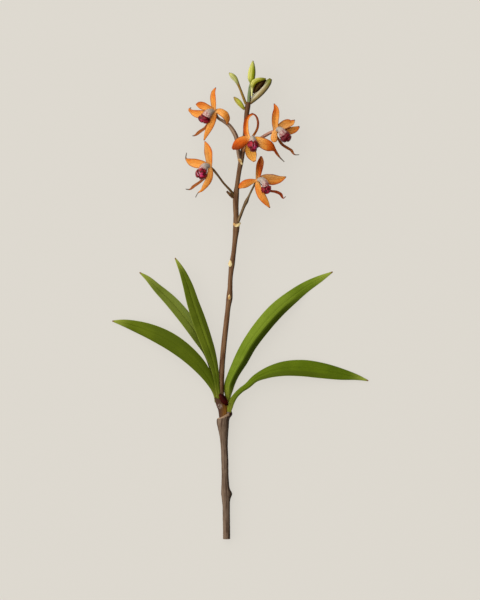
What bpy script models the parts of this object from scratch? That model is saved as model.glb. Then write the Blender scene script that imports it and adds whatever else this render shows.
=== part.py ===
"""A cut flowering cane of an epidendrum orchid, lying on its back on a table.

The plant is laid out in millimetres: u to the right of the cane's foot, v along the plant from the cut
end towards the buds, w up from the table. A row of a route holds u, v, w and the radius of a stem there,
or half the width of a blade.
"""

import math
from collections import namedtuple

import bmesh
import bpy
import numpy as np

MM = 0.001
# The middle of the whole plant's outline, which becomes the origin.
MIDDLE_U = 12.88
MIDDLE_V = 215.48

# Neighbours keep this much room between them.
GAP = 0.3
LEAF_THICKNESS = 1.0
TEPAL_THICKNESS = 0.7
SCALE_THICKNESS = 0.7
LIP_THICKNESS = 0.8
# How far the middle of a lip stands in front of the end of its column.
LIP_LEAD = 1.7
HUB_RADIUS = 1.6
THINNEST_HALF = 0.35

CANE_SIDES = 12
STEM_SIDES = 10
STALK_SIDES = 8
CANE_RINGS = 27
STEM_RINGS = 46
SHEATH_RINGS = 7
COLUMN_RINGS = 7
BUD_RINGS = 12
LEAF_STATIONS = 14
SCALE_STATIONS = 6
# A tepal has this many stations more than its route has rows.
TEPAL_EXTRA_STATIONS = 2
BLADE_COLUMNS = 5

# Blades: a route, the ways that the face looks along it, how far the edges cup upwards and how sharply
# the blade folds along its middle, both as shares of half its width.
Blade = namedtuple("Blade", "rows facings cup crease")
Lip = namedtuple("Lip", "facing radius")
Flower = namedtuple("Flower", "hub tepals column lip stalk")

# Linear red, green and blue, and roughness.
FINISHES = {
    "cane_bark": (0.16, 0.10, 0.075, 0.62),
    "stem_skin": (0.17, 0.085, 0.045, 0.5),
    "sheath_paper": (0.19, 0.10, 0.07, 0.7),
    "scale_maroon": (0.07, 0.006, 0.008, 0.45),
    "scale_cream": (0.75, 0.58, 0.25, 0.6),
    "scale_brown": (0.10, 0.045, 0.012, 0.6),
    "leaf_green": (0.09, 0.16, 0.012, 0.42),
    "tepal_orange": (0.83, 0.27, 0.045, 0.5),
    "column_blush": (0.66, 0.44, 0.38, 0.5),
    "lip_crimson": (0.28, 0.012, 0.045, 0.45),
    "bud_green": (0.42, 0.42, 0.07, 0.5),
}

# The cane, from its cut end over a swollen joint and a slim stretch to the collar, whose top slants up
# to the right as the sheath's foot does.
TOP_SLANT = 0.65
CANE = [
    (0.5, 0, 3.6, 3.25),
    (0.3, 18, 3.9, 3.3),
    (0.1, 32, 4.2, 3.6),
    (0, 38.7, 4.3, 4.3),
    (-0.5, 45.5, 4.5, 3.7),
    (-1, 54, 4.8, 3.3),
    (-1.4, 72, 5.5, 3.2),
    (-1.8, 84, 6.1, 3.25),
    (-2, 94, 6.8, 3.9),
    (-2.3, 102, 7.3, 4.9),
    (-2.2, 108, 7.6, 5.1),
    (-1.6, 113, 7.9, 5),
]
# Dormant eyes on the cane: middle and radius.
CANE_EYES = [
    ((3.9, 39.5, 4.9), 1.7),
    ((3.9, 111.2, 9), 2),
    ((-5.4, 105.6, 8.2), 2.5),
]
SHEATH = [
    (-1.7, 113.2, 7.9, 4.6),
    (-2.6, 118.5, 8.3, 5),
    (-3.8, 123, 8.7, 5.6),
    (-4.3, 127, 8.9, 6.2),
]
STEM = [
    (-2.2, 113.6, 8, 2.2),
    (-3.9, 128, 9, 2.3),
    (-4, 139.5, 9.8, 2.35),
    (-3.6, 153, 10.5, 2.2),
    (-2, 175.5, 11.7, 2.25),
    (0, 196, 12.8, 2.3),
    (2, 210.5, 13.5, 2.4),
    (3.1, 218, 13.8, 2.9),
    (3.6, 226.5, 14.2, 2.3),
    (4.2, 238.5, 14.7, 2.2),
    (5.4, 248.5, 15.1, 2.6),
    (6.7, 257, 15.5, 2.2),
    (8.1, 270, 16.1, 2.3),
    (9.3, 282.5, 16.7, 3),
    (9.1, 291, 17.1, 2.5),
    (8.8, 301.5, 17.6, 2.6),
    (9, 310, 18, 2.8),
    (10, 318.5, 18.4, 2.2),
    (11.7, 331, 19, 2.1),
    (13.5, 341, 19.4, 2.4),
    (15.3, 351, 19.9, 2.1),
    (17, 362, 20.4, 2),
    (18, 373.5, 20.9, 1.95),
    (19, 384.5, 21.4, 1.9),
    (20, 392, 21.8, 2.1),
]
# Pale dormant eyes on the flower stem: middle, and half sizes across, along and up.
STEM_EYES = {
    "eye_lower": ((2.9, 218.2, 16.9), (1.3, 2, 0.9)),
    "eye_upper": ((3.9, 248.4, 17.2), (1.6, 2.1, 1)),
}

# Leaves start inside the sheath's mouth, which is cut out of them. Two tips lie flat on the table.
LEAVES = {
    "leaf_left_low": Blade(
        [
            (-7.8, 123.5, 8.6, 1.7),
            (-9.6, 129, 9.6, 2.3),
            (-11.4, 135, 10.8, 3.1),
            (-14.4, 144, 12.2, 4.4),
            (-20.7, 155.5, 13.6, 6),
            (-31.5, 167.5, 14, 7.3),
            (-46, 178, 12.6, 7.9),
            (-64, 187, 9, 7.3),
            (-82, 192.5, 4.6, 5.2),
            (-93.5, 195.5, 2.2, 3),
            (-103, 197, 1.4, 0.5),
        ],
        [(0.8, 0.1, 0.6), (0.15, -0.3, 0.93), (0, -0.1, 1)],
        cup=-0.16,
        crease=0,
    ),
    "leaf_left_middle": Blade(
        [
            (-6.2, 123.5, 4.4, 1.6),
            (-8.2, 139.5, 4.7, 3),
            (-11.6, 153, 5, 4.3),
            (-17, 167.5, 5, 5),
            (-26, 183.5, 4.8, 5.7),
            (-37.5, 200.5, 4, 6),
            (-50, 215, 2.6, 5.4),
            (-63, 227.5, 0.6, 3.8),
            (-71, 235.5, 0.2, 2.3),
            (-78.3, 241, 0.2, 0.5),
        ],
        [(0.3, 0.2, 0.95), (0, 0.1, 1), (0, 0, 1)],
        cup=0,
        crease=0.1,
    ),
    "leaf_left_high": Blade(
        [
            (-6.2, 123.5, 11.6, 1.5),
            (-8.2, 141, 13.4, 2.3),
            (-10, 153, 14.2, 3.3),
            (-14, 167.5, 15, 4.9),
            (-19, 182, 15.5, 5.9),
            (-24.5, 198, 15.5, 6.1),
            (-30, 214, 15, 5.5),
            (-35, 230.5, 14, 4.3),
            (-40.5, 244, 13, 2.5),
            (-44, 250.5, 12.3, 1.3),
            (-46, 254, 12, 0.5),
        ],
        [(0.6, 0, 0.8), (0.1, 0, 1), (0.05, 0.1, 1)],
        cup=0,
        crease=0.1,
    ),
    "leaf_right_high": Blade(
        [
            (-0.4, 123.4, 9, 1.6),
            (2.2, 134, 10.4, 3),
            (5.7, 146, 12, 4.3),
            (12, 161, 14, 5.8),
            (20.5, 176.5, 15, 6.6),
            (31.5, 191.5, 14.6, 7.2),
            (45, 206.5, 11.6, 7.2),
            (60.5, 219.5, 5.8, 6.2),
            (72, 227.8, 1.4, 4.9),
            (85.5, 235.5, 0.2, 3),
            (96.5, 241.5, 0.2, 0.5),
        ],
        [(-0.8, 0.1, 0.6), (-0.25, 0.2, 0.95), (-0.1, 0.1, 1), (0, 0, 1)],
        cup=-0.1,
        crease=-0.12,
    ),
    "leaf_right_low": Blade(
        [
            (2.3, 114.6, 10.6, 1.5),
            (4.2, 118.6, 11, 1.8),
            (6.8, 123.8, 11, 2),
            (11, 131.5, 11.2, 2.2),
            (18, 138.5, 11.4, 2.6),
            (26, 145, 11.3, 3.4),
            (36, 150, 11, 5),
            (50.5, 154, 10, 6.8),
            (68.5, 154.8, 7.9, 7.7),
            (86.5, 152.5, 5.4, 7.3),
            (104.5, 149, 3.2, 5.3),
            (119, 146, 2, 2.5),
            (128.7, 143, 1.5, 0.5),
        ],
        [(-0.5, 0.4, 0.75), (-0.2, 0.4, 0.9), (0, 0.15, 1)],
        cup=-0.14,
        crease=0,
    ),
}

# Tepals seen on edge turn their face towards the buds.
EDGE_ON_LEFT = [(0.45, 0.75, 0.45), (0.4, 0.75, 0.5)]
EDGE_ON_RIGHT = [(-0.45, 0.75, 0.45), (-0.4, 0.75, 0.5)]
# The routes of a flower's tepals and column start from its hub. The stalk runs from the stem to the hub.
FLOWERS = [
    Flower(
        hub=(-10.4, 386, 26),
        tepals=[
            Blade(
                [
                    (0, 0, 0, 1),
                    (-0.3, 6.3, 1, 2.5),
                    (-0.6, 11.7, 1.2, 3),
                    (-0.5, 16.7, 0.5, 2),
                    (1.2, 20.7, -1, 0.4),
                ],
                [(-0.5, 0, 0.85)],
                cup=0.25,
                crease=0.1,
            ),
            Blade(
                [
                    (0, 0, 0, 1),
                    (-5.9, 3.3, -1.5, 2.9),
                    (-10.4, 5, -3.6, 3.6),
                    (-14, 5.7, -5.6, 2.8),
                    (-16.7, 6.1, -7, 0.5),
                ],
                [(-0.35, -0.3, 0.9)],
                cup=0.25,
                crease=0,
            ),
            Blade(
                [
                    (0, 0, 0, 1),
                    (-5, -1.8, -3, 2.6),
                    (-11, -2.7, -6, 3.7),
                    (-16, -2.4, -8, 3.4),
                    (-20.3, -0.4, -10, 2),
                    (-22.6, 1.8, -10.5, 1),
                    (-21, 3.4, -10, 0.4),
                ],
                [(-0.3, 0.1, 0.95)],
                cup=0.2,
                crease=0.1,
            ),
            Blade(
                [
                    (0, 0, 0, 1),
                    (5.6, -0.3, 3.6, 2.8),
                    (10.4, -3.2, 5.4, 3.4),
                    (12.6, -7.7, 3.8, 2.8),
                    (11.7, -12.4, 0.5, 0.9),
                ],
                [(0.1, 0.3, 0.95), (0.6, 0.2, 0.75)],
                cup=-0.3,
                crease=0,
            ),
            Blade(
                [
                    (0, 0, 0, 1),
                    (-0.9, -7.2, 2.6, 2.8),
                    (-3.2, -13.5, 3.4, 3.2),
                    (-6.3, -19.8, 2.4, 2.4),
                    (-9.2, -26.6, 0, 0.5),
                ],
                [(0.1, 0.1, 1)],
                cup=-0.2,
                crease=0.1,
            ),
            Blade(
                [
                    (0, 0, 0, 0.9),
                    (-3.6, -8, -3.6, 1.5),
                    (-7.8, -14.6, -5, 1.9),
                    (-13.5, -18.8, -5.4, 2.2),
                    (-17.6, -22, -5, 1.1),
                    (-19.8, -22.4, -4.4, 0.4),
                ],
                EDGE_ON_LEFT,
                cup=0.1,
                crease=0,
            ),
        ],
        column=[
            (-1.6, -0.9, 1.9, 1.5),
            (-3.6, -1.4, 3.4, 2.4),
            (-6, -2.8, 4.2, 3),
            (-7.8, -4.8, 4.4, 2.6),
            (-8.6, -6.2, 4.4, 1.7),
        ],
        lip=Lip((-0.5, -0.72, 0.5), 4.6),
        stalk=[
            (12.6, 341.4, 20.6, 1.9),
            (11.2, 348.5, 22.8, 1.9),
            (10.4, 356, 23.6, 2),
            (9.2, 362.5, 23.8, 2.2),
            (6.2, 368.4, 23.8, 2.1),
            (2.6, 373.2, 23.4, 1.9),
            (-2.2, 376.6, 23, 1.5),
            (-7, 379.6, 23.2, 1.3),
            (-10, 385.4, 25.2, 1.2),
        ],
    ),
    Flower(
        hub=(-14.4, 335.7, 24),
        tepals=[
            Blade(
                [
                    (0, 0, 0, 1),
                    (-0.9, 8.1, 1.5, 2.9),
                    (-1.8, 14.4, 2.4, 3.4),
                    (-3.2, 18.9, 2, 2.2),
                    (-4.6, 22.6, 1, 0.5),
                ],
                [(-0.35, 0, 0.93)],
                cup=0.1,
                crease=0.3,
            ),
            Blade(
                [
                    (0, 0, 0, 1),
                    (-7.2, 2.6, -2.2, 3.3),
                    (-12.6, 3.3, -4.2, 4),
                    (-18, 5, -6, 3),
                    (-21.6, 7.8, -6.8, 0.8),
                    (-21.1, 13, -6, 0.35),
                ],
                [(-0.35, -0.2, 0.92)],
                cup=0.25,
                crease=0,
            ),
            Blade(
                [
                    (0, 0, 0, 1),
                    (0.9, -6.3, 2.6, 2.5),
                    (-0.5, -11.7, 3.6, 3.1),
                    (-3.6, -17.1, 3.2, 2.6),
                    (-7.7, -21.6, 2, 1.1),
                    (-10.4, -23.2, 1.5, 0.5),
                    (-13, -27.5, 1, 0.35),
                ],
                [(0.1, 0, 1)],
                cup=-0.2,
                crease=0,
            ),
            Blade(
                [
                    (0, 0, 0, 0.9),
                    (-3.6, -8.6, -3.4, 1.6),
                    (-8.6, -13, -4.8, 2.1),
                    (-14.2, -17, -5.2, 2.1),
                    (-18.3, -20, -5, 1),
                    (-22.1, -19.8, -4.2, 0.4),
                ],
                EDGE_ON_LEFT,
                cup=0.1,
                crease=0,
            ),
            Blade(
                [
                    (0, 0, 0, 1),
                    (0.6, 1.6, -4.4, 2.6),
                    (-0.2, 4.4, -9, 3.2),
                    (-2, 8.4, -13, 2),
                    (-3.6, 11.6, -15, 0.5),
                ],
                [(-1, 0, 0.1)],
                cup=0.2,
                crease=0,
            ),
        ],
        column=[
            (-1.5, -0.9, 1.8, 1.5),
            (-3.4, -1.8, 3.1, 2.4),
            (-5.1, -3.2, 4.2, 2.7),
            (-6.2, -4.4, 5.1, 2.4),
            (-7, -5.2, 6, 1.7),
        ],
        lip=Lip((-0.42, -0.42, 0.8), 5.2),
        stalk=[
            (8, 309.4, 18.6, 1.5),
            (4, 314.5, 20.6, 1.2),
            (-2, 321, 21.4, 1),
            (-7.4, 328.2, 22, 1.05),
            (-11.6, 333.2, 22.6, 1.2),
            (-13.8, 335.2, 23.4, 1.1),
        ],
    ),
    Flower(
        hub=(22, 361, 33),
        tepals=[
            Blade(
                [
                    (0, 0, 0, 1),
                    (-3.4, 7.2, -1, 2.1),
                    (-3.9, 12.6, -1.6, 2.2),
                    (-3.4, 17.1, -2, 1.8),
                    (-0.9, 20.2, -2.2, 1.1),
                    (2.3, 22.2, -2.4, 0.7),
                ],
                [(-0.25, 0, 0.97)],
                cup=0.1,
                crease=0.3,
            ),
            Blade(
                [
                    (0, 0, 0, 0.9),
                    (3.6, 4.8, -1.5, 1.3),
                    (6.1, 9.9, -2.4, 1.7),
                    (6.3, 15.8, -2.7, 1.6),
                    (4.6, 20.2, -2.7, 1.2),
                    (2, 22.3, -2.5, 0.7),
                ],
                [(0.85, -0.1, 0.5), (0.8, 0.3, 0.5)],
                cup=0.1,
                crease=0,
            ),
            Blade(
                [
                    (0, 0, 0, 1),
                    (-5.9, -1.8, 1.5, 4.2),
                    (-9.9, -4.5, 2, 5),
                    (-13.5, -7.2, 1.5, 3.8),
                    (-16.4, -9.5, 0.4, 1.2),
                ],
                [(-0.1, 0.1, 1)],
                cup=-0.2,
                crease=0,
            ),
            Blade(
                [
                    (0, 0, 0, 1),
                    (8.6, -2.7, 1.5, 4),
                    (14, -5.4, 1.5, 4.8),
                    (18.5, -7.7, 0.6, 3.8),
                    (21.6, -10.4, -1, 1.6),
                    (23.9, -13.9, -2, 1.2),
                    (26.1, -16.7, -3, 0.8),
                    (30.4, -21, -4, 0.35),
                ],
                [(0.1, 0.1, 1)],
                cup=-0.15,
                crease=0.1,
            ),
            Blade(
                [
                    (0, 0, 0, 1),
                    (-0.9, -6.4, -3.2, 3.4),
                    (-0.4, -11.5, -4, 4.3),
                    (1, -15.5, -3.8, 3.6),
                    (2.8, -19.4, -3, 0.8),
                ],
                [(0, -0.2, 1)],
                cup=0.2,
                crease=0,
            ),
        ],
        column=[
            (0.3, -1.2, 1.8, 1.5),
            (0.8, -2.6, 3, 2.3),
            (1.4, -4, 4.3, 2.6),
            (1.8, -4.9, 5.5, 2.3),
            (2, -5.3, 6.4, 1.7),
        ],
        lip=Lip((0.12, -0.35, 0.93), 5.4),
        stalk=[(15.6, 350.4, 20.8, 1.6), (18, 353.6, 24, 1.5), (20.2, 357, 28, 1.4), (21.6, 360, 31.6, 1.2)],
    ),
    Flower(
        hub=(44.6, 368.5, 26),
        tepals=[
            Blade(
                [
                    (0, 0, 0, 1),
                    (-0.6, 7.7, 1, 2.8),
                    (0, 14, 1, 3.1),
                    (0.9, 19.4, 0, 2),
                    (-1.4, 23.9, -1.5, 0.4),
                ],
                [(0.4, 0, 0.9)],
                cup=0.25,
                crease=0.1,
            ),
            Blade(
                [
                    (0, 0, 0, 1),
                    (5.7, 4.5, -2.4, 2.9),
                    (10.4, 6.8, -4.6, 3.5),
                    (14.4, 7.4, -6, 2.4),
                    (17.4, 9.6, -6.6, 0.4),
                ],
                [(0.35, -0.2, 0.92)],
                cup=0.25,
                crease=0,
            ),
            Blade(
                [
                    (0, 0, 0, 1),
                    (7, -1, -5, 2.4),
                    (13, -0.2, -7.6, 3.1),
                    (18.5, 1.6, -9, 2.4),
                    (21.6, 3.8, -9.4, 0.6),
                ],
                [(0.3, 0.2, 0.93)],
                cup=0.2,
                crease=0,
            ),
            Blade(
                [
                    (0, 0, 0, 1),
                    (-1.5, -4.2, 4.5, 2.5),
                    (-1.7, -7.4, 8.5, 2.9),
                    (-1.4, -9.4, 12, 2.2),
                    (-0.8, -10.6, 14.5, 0.6),
                ],
                [(-0.1, 0.9, 0.4)],
                cup=-0.3,
                crease=0,
            ),
            Blade(
                [
                    (0, 0, 0, 0.9),
                    (2, -7, -3.2, 1.3),
                    (5.6, -12.4, -4.2, 1.8),
                    (10.4, -15.6, -4.4, 2.2),
                    (14, -17.4, -4.2, 1.7),
                    (16.7, -21.2, -4, 0.7),
                    (21.2, -21.2, -3, 0.35),
                ],
                EDGE_ON_RIGHT,
                cup=0.1,
                crease=0,
            ),
        ],
        column=[
            (1.6, -0.8, 1.6, 1.5),
            (3.4, -1.8, 2.9, 2.3),
            (5.1, -3, 3.9, 2.7),
            (6.3, -4.1, 4.7, 2.4),
            (7.1, -4.9, 5.6, 1.7),
        ],
        lip=Lip((0.55, -0.45, 0.7), 5.2),
        stalk=[
            (17, 355.4, 20.6, 1.5),
            (24, 357.6, 22.2, 1.4),
            (31, 361.4, 23, 1.5),
            (36.5, 364.6, 23.6, 1.6),
            (41, 367, 24, 1.4),
            (43.8, 368.2, 25, 1.2),
        ],
    ),
    Flower(
        hub=(28, 323.5, 27),
        tepals=[
            Blade(
                [
                    (0, 0, 0, 1),
                    (0.9, 7.7, 0, 2.6),
                    (1.8, 13.1, 1, 3.2),
                    (3, 17.6, 1.5, 2.6),
                    (3.6, 21.2, 1.5, 0.8),
                ],
                [(0.3, 0, 0.95)],
                cup=0.15,
                crease=0.35,
            ),
            Blade(
                [
                    (0, 0, 0, 1),
                    (-6.3, -1.4, 1.8, 3),
                    (-10.8, -3.2, 2.6, 3.6),
                    (-14.4, -5.2, 2.6, 2.6),
                    (-16.4, -7.2, 2, 0.8),
                ],
                [(-0.1, 0.1, 1)],
                cup=-0.2,
                crease=0,
            ),
            Blade(
                [
                    (0, 0, 0, 1),
                    (7.2, 1.6, -3, 3.6),
                    (13.5, 0.6, -5, 4.8),
                    (19.8, 1, -6.4, 3.3),
                    (26.1, 3.3, -7.4, 0.5),
                ],
                [(0.3, 0, 0.95)],
                cup=0.2,
                crease=0.12,
            ),
            Blade(
                [
                    (0, 0, 0, 1),
                    (1.2, -7.7, 1.6, 3.1),
                    (4, -14, 2.4, 3.6),
                    (7.7, -19.4, 1.8, 2.7),
                    (11.5, -24.8, 0.3, 0.5),
                ],
                [(-0.1, 0, 1)],
                cup=-0.2,
                crease=0,
            ),
            Blade(
                [
                    (0, 0, 0, 0.9),
                    (6, -5.6, -4, 1.5),
                    (12.2, -9.5, -5, 2),
                    (17.1, -10.4, -5.2, 2.1),
                    (21.2, -12.4, -5, 1.5),
                    (23.6, -16, -4.6, 0.7),
                    (25.9, -14.2, -4, 0.35),
                ],
                EDGE_ON_RIGHT,
                cup=0.1,
                crease=0,
            ),
        ],
        column=[
            (1.6, 0.7, 1.8, 1.5),
            (4.2, 0.8, 3.6, 2.5),
            (6.8, -1, 4.8, 3.1),
            (8.2, -4, 4.8, 2.8),
            (8.6, -6.2, 4.4, 1.7),
        ],
        lip=Lip((0.35, -0.8, 0.5), 4.4),
        stalk=[
            (10.6, 286, 17.6, 1.6),
            (13.6, 293.4, 19.6, 1.4),
            (16.6, 301, 21, 1.5),
            (18.3, 304.5, 21.6, 1.8),
            (20.4, 309, 22.4, 1.1),
            (23.6, 315.6, 23.8, 0.95),
            (26.4, 320.8, 25.2, 1.1),
            (27.6, 322.8, 26, 1.1),
        ],
    ),
]

# Buds on their own stalks round the tip of the stem, and a dark bract between two of them.
BUDS = {
    "bud_top": [
        (20.8, 392.3, 21.9, 1.2),
        (21, 400, 22.3, 1.3),
        (21.6, 407.4, 22.7, 1.2),
        (22.2, 411.2, 22.9, 1.6),
        (22.8, 415, 23.1, 2.7),
        (23.2, 419.5, 23.3, 3.2),
        (23.6, 424, 23.4, 2.7),
        (24, 428.2, 23.5, 1.5),
        (24.2, 431, 23.5, 0.4),
    ],
    "bud_left_tall": [
        (18.2, 392.2, 22.2, 1),
        (15.6, 400, 22.8, 1.1),
        (12.8, 407.6, 23.4, 1),
        (10.6, 412.6, 23.8, 1.3),
        (8.4, 415.6, 24, 2.2),
        (5.8, 418.2, 24.1, 2.2),
        (3.8, 419.8, 24.1, 0.5),
    ],
    "bud_left_small": [
        (16.7, 388, 22, 0.8),
        (14, 391.2, 22.8, 1.8),
        (11.4, 394.2, 23.2, 2.1),
        (9, 396.6, 23.2, 1.5),
        (7.4, 398, 23.2, 0.4),
    ],
    "bud_right_arched": [
        (21.4, 396.6, 23.4, 0.8),
        (22.8, 400, 24.8, 0.9),
        (23.8, 403.6, 25.4, 1.3),
        (25, 408.4, 25.7, 2),
        (28, 412, 25.8, 2.1),
        (31.6, 413.8, 25.6, 1.7),
        (36, 414.6, 25.2, 0.4),
    ],
    "bract_dark": [
        (26.4, 403.2, 22.7, 0.7),
        (28.6, 406.4, 22.6, 2.2),
        (31, 409.4, 22.7, 2.2),
        (33, 411.8, 22.9, 0.6),
    ],
    "bud_right_long": [
        (22.4, 392.4, 21.4, 1),
        (26, 397, 21.2, 2),
        (31.6, 402.8, 21.2, 2.8),
        (36.4, 408, 21.2, 2.5),
        (39.6, 412, 21.2, 1.4),
        (41.4, 414.6, 21.2, 0.4),
    ],
}
BUD_FINISHES = {"bract_dark": "scale_brown"}

# Small scales: one below the flower stem and three that hold the feet of stalks.
SCALES = {
    "scale_maroon": Blade(
        [(0.4, 120.6, 14.4, 1), (-1.8, 124.8, 15.6, 2.3), (-3.6, 129.2, 15.2, 2.2), (-5, 132.6, 13.6, 0.5)],
        [(0.1, -0.1, 1)],
        cup=-0.5,
        crease=0,
    ),
    "scale_stalk_1": Blade(
        [(11.2, 343, 22.9, 1.3), (12.9, 341, 23.1, 1.5), (14.6, 337.6, 22.2, 0.4)],
        [(-0.2, 0, 1)],
        cup=-0.4,
        crease=0,
    ),
    "scale_stalk_2": Blade(
        [(6.2, 307.6, 20.3, 0.9), (3.4, 310.8, 21.8, 1.4), (0.6, 313.8, 22.3, 0.9)],
        [(-0.1, -0.4, 0.9)],
        cup=-0.4,
        crease=0,
    ),
    "scale_stalk_5": Blade(
        [(6.6, 285, 19.2, 0.9), (8.6, 283.2, 20.4, 1.3), (10.8, 283.4, 20.6, 1.4), (13.2, 285.6, 18.8, 0.5)],
        [(-0.4, 0, 0.9), (0, 0, 1), (0.5, 0, 0.8)],
        cup=0,
        crease=0,
    ),
}
SCALE_FINISHES = {"scale_maroon": "scale_maroon", "scale_stalk_2": "scale_brown"}

# The outline of a lip: three lobes, whose rim has teeth.
LIP_LOBES = 3
LIP_LOBE_DEPTH = 0.17
LIP_TEETH = 8
LIP_TOOTH_DEPTH = 0.08
LIP_SEGMENTS = 24
LIP_RINGS = 3
# How far a lip's rim curls back, and where the heart lies that its wall thickens towards.
LIP_CURL = 0.62
LIP_HEART = 0.7


def unit(vectors):
    return vectors / np.linalg.norm(vectors, axis=-1, keepdims=True)


def along(rows, count):
    """A route's numbers at equal steps along a smooth curve through its rows."""
    rows = np.array(rows, float)
    steps = np.linalg.norm(np.diff(rows[:, :3], axis=0), axis=1)
    chord = np.concatenate(([0.0], np.cumsum(steps)))
    slopes = np.gradient(rows, chord, axis=0)
    places = np.linspace(0.0, chord[-1], count)
    spans = np.clip(np.searchsorted(chord, places, side="right") - 1, 0, len(chord) - 2)
    length = (chord[spans + 1] - chord[spans])[:, None]
    t = (places - chord[spans])[:, None] / length
    start, end = rows[spans], rows[spans + 1]
    leave, arrive = slopes[spans] * length, slopes[spans + 1] * length
    blend = 3 * t**2 - 2 * t**3
    return start + (end - start) * blend + leave * (t**3 - 2 * t**2 + t) + arrive * (t**3 - t**2)


def facings_along(facings, count):
    """The way that a blade looks at each of its stations."""
    facings = np.array(facings, float)
    given = np.linspace(0.0, 1.0, len(facings))
    read = np.linspace(0.0, 1.0, count)
    return unit(np.stack([np.interp(read, given, facings[:, k]) for k in range(3)], axis=1))


def in_metres(point):
    u, v, w = point
    return ((u - MIDDLE_U) * MM, (v - MIDDLE_V) * MM, w * MM)


def material(name):
    found = bpy.data.materials.get(name)
    if found:
        return found
    red, green, blue, roughness = FINISHES[name]
    made = bpy.data.materials.new(name)
    made.use_nodes = True
    shader = made.node_tree.nodes["Principled BSDF"]
    shader.inputs["Base Color"].default_value = (red, green, blue, 1.0)
    shader.inputs["Roughness"].default_value = roughness
    shader.inputs["Metallic"].default_value = 0.0
    made.diffuse_color = (red, green, blue, 1.0)
    return made


def as_object(name, shape, finish):
    """A closed shape as an object that faces outwards."""
    bmesh.ops.recalc_face_normals(shape, faces=shape.faces)
    mesh = bpy.data.meshes.new(name)
    shape.to_mesh(mesh)
    shape.free()
    mesh.shade_smooth()
    mesh.set_sharp_from_angle(angle=math.radians(50))
    mesh.materials.append(material(finish))
    made = bpy.data.objects.new(name, mesh)
    bpy.context.scene.collection.objects.link(made)
    return made


def tube(rows, sides, rings, extra=0.0, slants=(0.0, 0.0)):
    """A round stem along a route. A slant makes that end rise to the right; extra fattens it all over."""
    route = along(rows, rings)
    centres = route[:, :3]
    radii = route[:, 3] + extra
    tangents = unit(np.gradient(centres, axis=0))
    centres[0] -= 2 * extra * tangents[0]
    centres[-1] += 2 * extra * tangents[-1]
    side = unit(np.cross(tangents[0], (0.0, 0.3, 1.0)))
    shape = bmesh.new()
    loops = []
    for index in range(rings):
        side = unit(side - tangents[index] * np.dot(side, tangents[index]))
        other = np.cross(tangents[index], side)
        slant = slants[0] if index == 0 else slants[1] if index == rings - 1 else 0.0
        loop = []
        for turn in range(sides):
            angle = 2 * math.pi * turn / sides
            point = centres[index] + radii[index] * (math.cos(angle) * side + math.sin(angle) * other)
            point = point + tangents[index] * slant * (point[0] - centres[index][0])
            loop.append(shape.verts.new(in_metres(point)))
        loops.append(loop)
    for low, high in zip(loops, loops[1:]):
        for turn in range(sides):
            after = (turn + 1) % sides
            shape.faces.new((low[turn], low[after], high[after], high[turn]))
    shape.faces.new(loops[0][::-1])
    shape.faces.new(loops[-1])
    return shape


def ball(middle, sizes, segments=10, rings=6, extra=0.0):
    """A rounded lump with the given half sizes along u, v and w."""
    shape = bmesh.new()
    bmesh.ops.create_uvsphere(shape, u_segments=segments, v_segments=rings, radius=1.0)
    for vert in shape.verts:
        vert.co = in_metres([middle[k] + (sizes[k] + extra) * vert.co[k] for k in range(3)])
    return shape


def blade(form, stations, thickness, on_table=False, extra=0.0):
    """A leaf, tepal or scale as a thin curved solid. On the table, none of it reaches below w = 0."""
    route = along(form.rows, stations)
    centres = route[:, :3]
    half = np.maximum(route[:, 3], THINNEST_HALF) + extra
    tangents = unit(np.gradient(centres, axis=0))
    centres[0] -= 2 * extra * tangents[0]
    centres[-1] += 2 * extra * tangents[-1]
    sides = unit(np.cross(tangents, facings_along(form.facings, stations)))
    normals = np.cross(sides, tangents)
    across = np.linspace(-1.0, 1.0, BLADE_COLUMNS)
    lift = half[:, None] * (form.cup * across**2 + form.crease * np.abs(across))
    middle = (
        centres[:, None, :]
        + sides[:, None, :] * (half[:, None] * across)[..., None]
        + normals[:, None, :] * lift[..., None]
    )
    local = unit(np.cross(np.gradient(middle, axis=1), np.gradient(middle, axis=0)))
    offset = local * (thickness / 2 + extra)
    upper, lower = middle + offset, middle - offset
    if on_table:
        raised = np.maximum(0.0, -np.minimum(upper, lower)[..., 2])
        upper[..., 2] += raised
        lower[..., 2] += raised
    return closed_blade(upper, lower)


def closed_blade(upper, lower):
    """The two faces of a blade in matching triangles, and the rim that closes them."""
    shape = bmesh.new()
    top, under = [[[shape.verts.new(in_metres(p)) for p in row] for row in grid] for grid in (upper, lower)]
    last_row, last_column = len(upper) - 1, len(upper[0]) - 1
    for grid in (top, under):
        for i in range(last_row):
            for j in range(last_column):
                shape.faces.new((grid[i][j], grid[i][j + 1], grid[i + 1][j + 1]))
                shape.faces.new((grid[i][j], grid[i + 1][j + 1], grid[i + 1][j]))
    rims = [[(i, j) for i in range(last_row + 1)] for j in (0, last_column)]
    rims += [[(i, j) for j in range(last_column + 1)] for i in (0, last_row)]
    for rim in rims:
        for (a, b), (c, d) in zip(rim, rim[1:]):
            shape.faces.new((top[a][b], top[c][d], under[c][d]))
            shape.faces.new((top[a][b], under[c][d], under[a][b]))
    return shape


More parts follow.
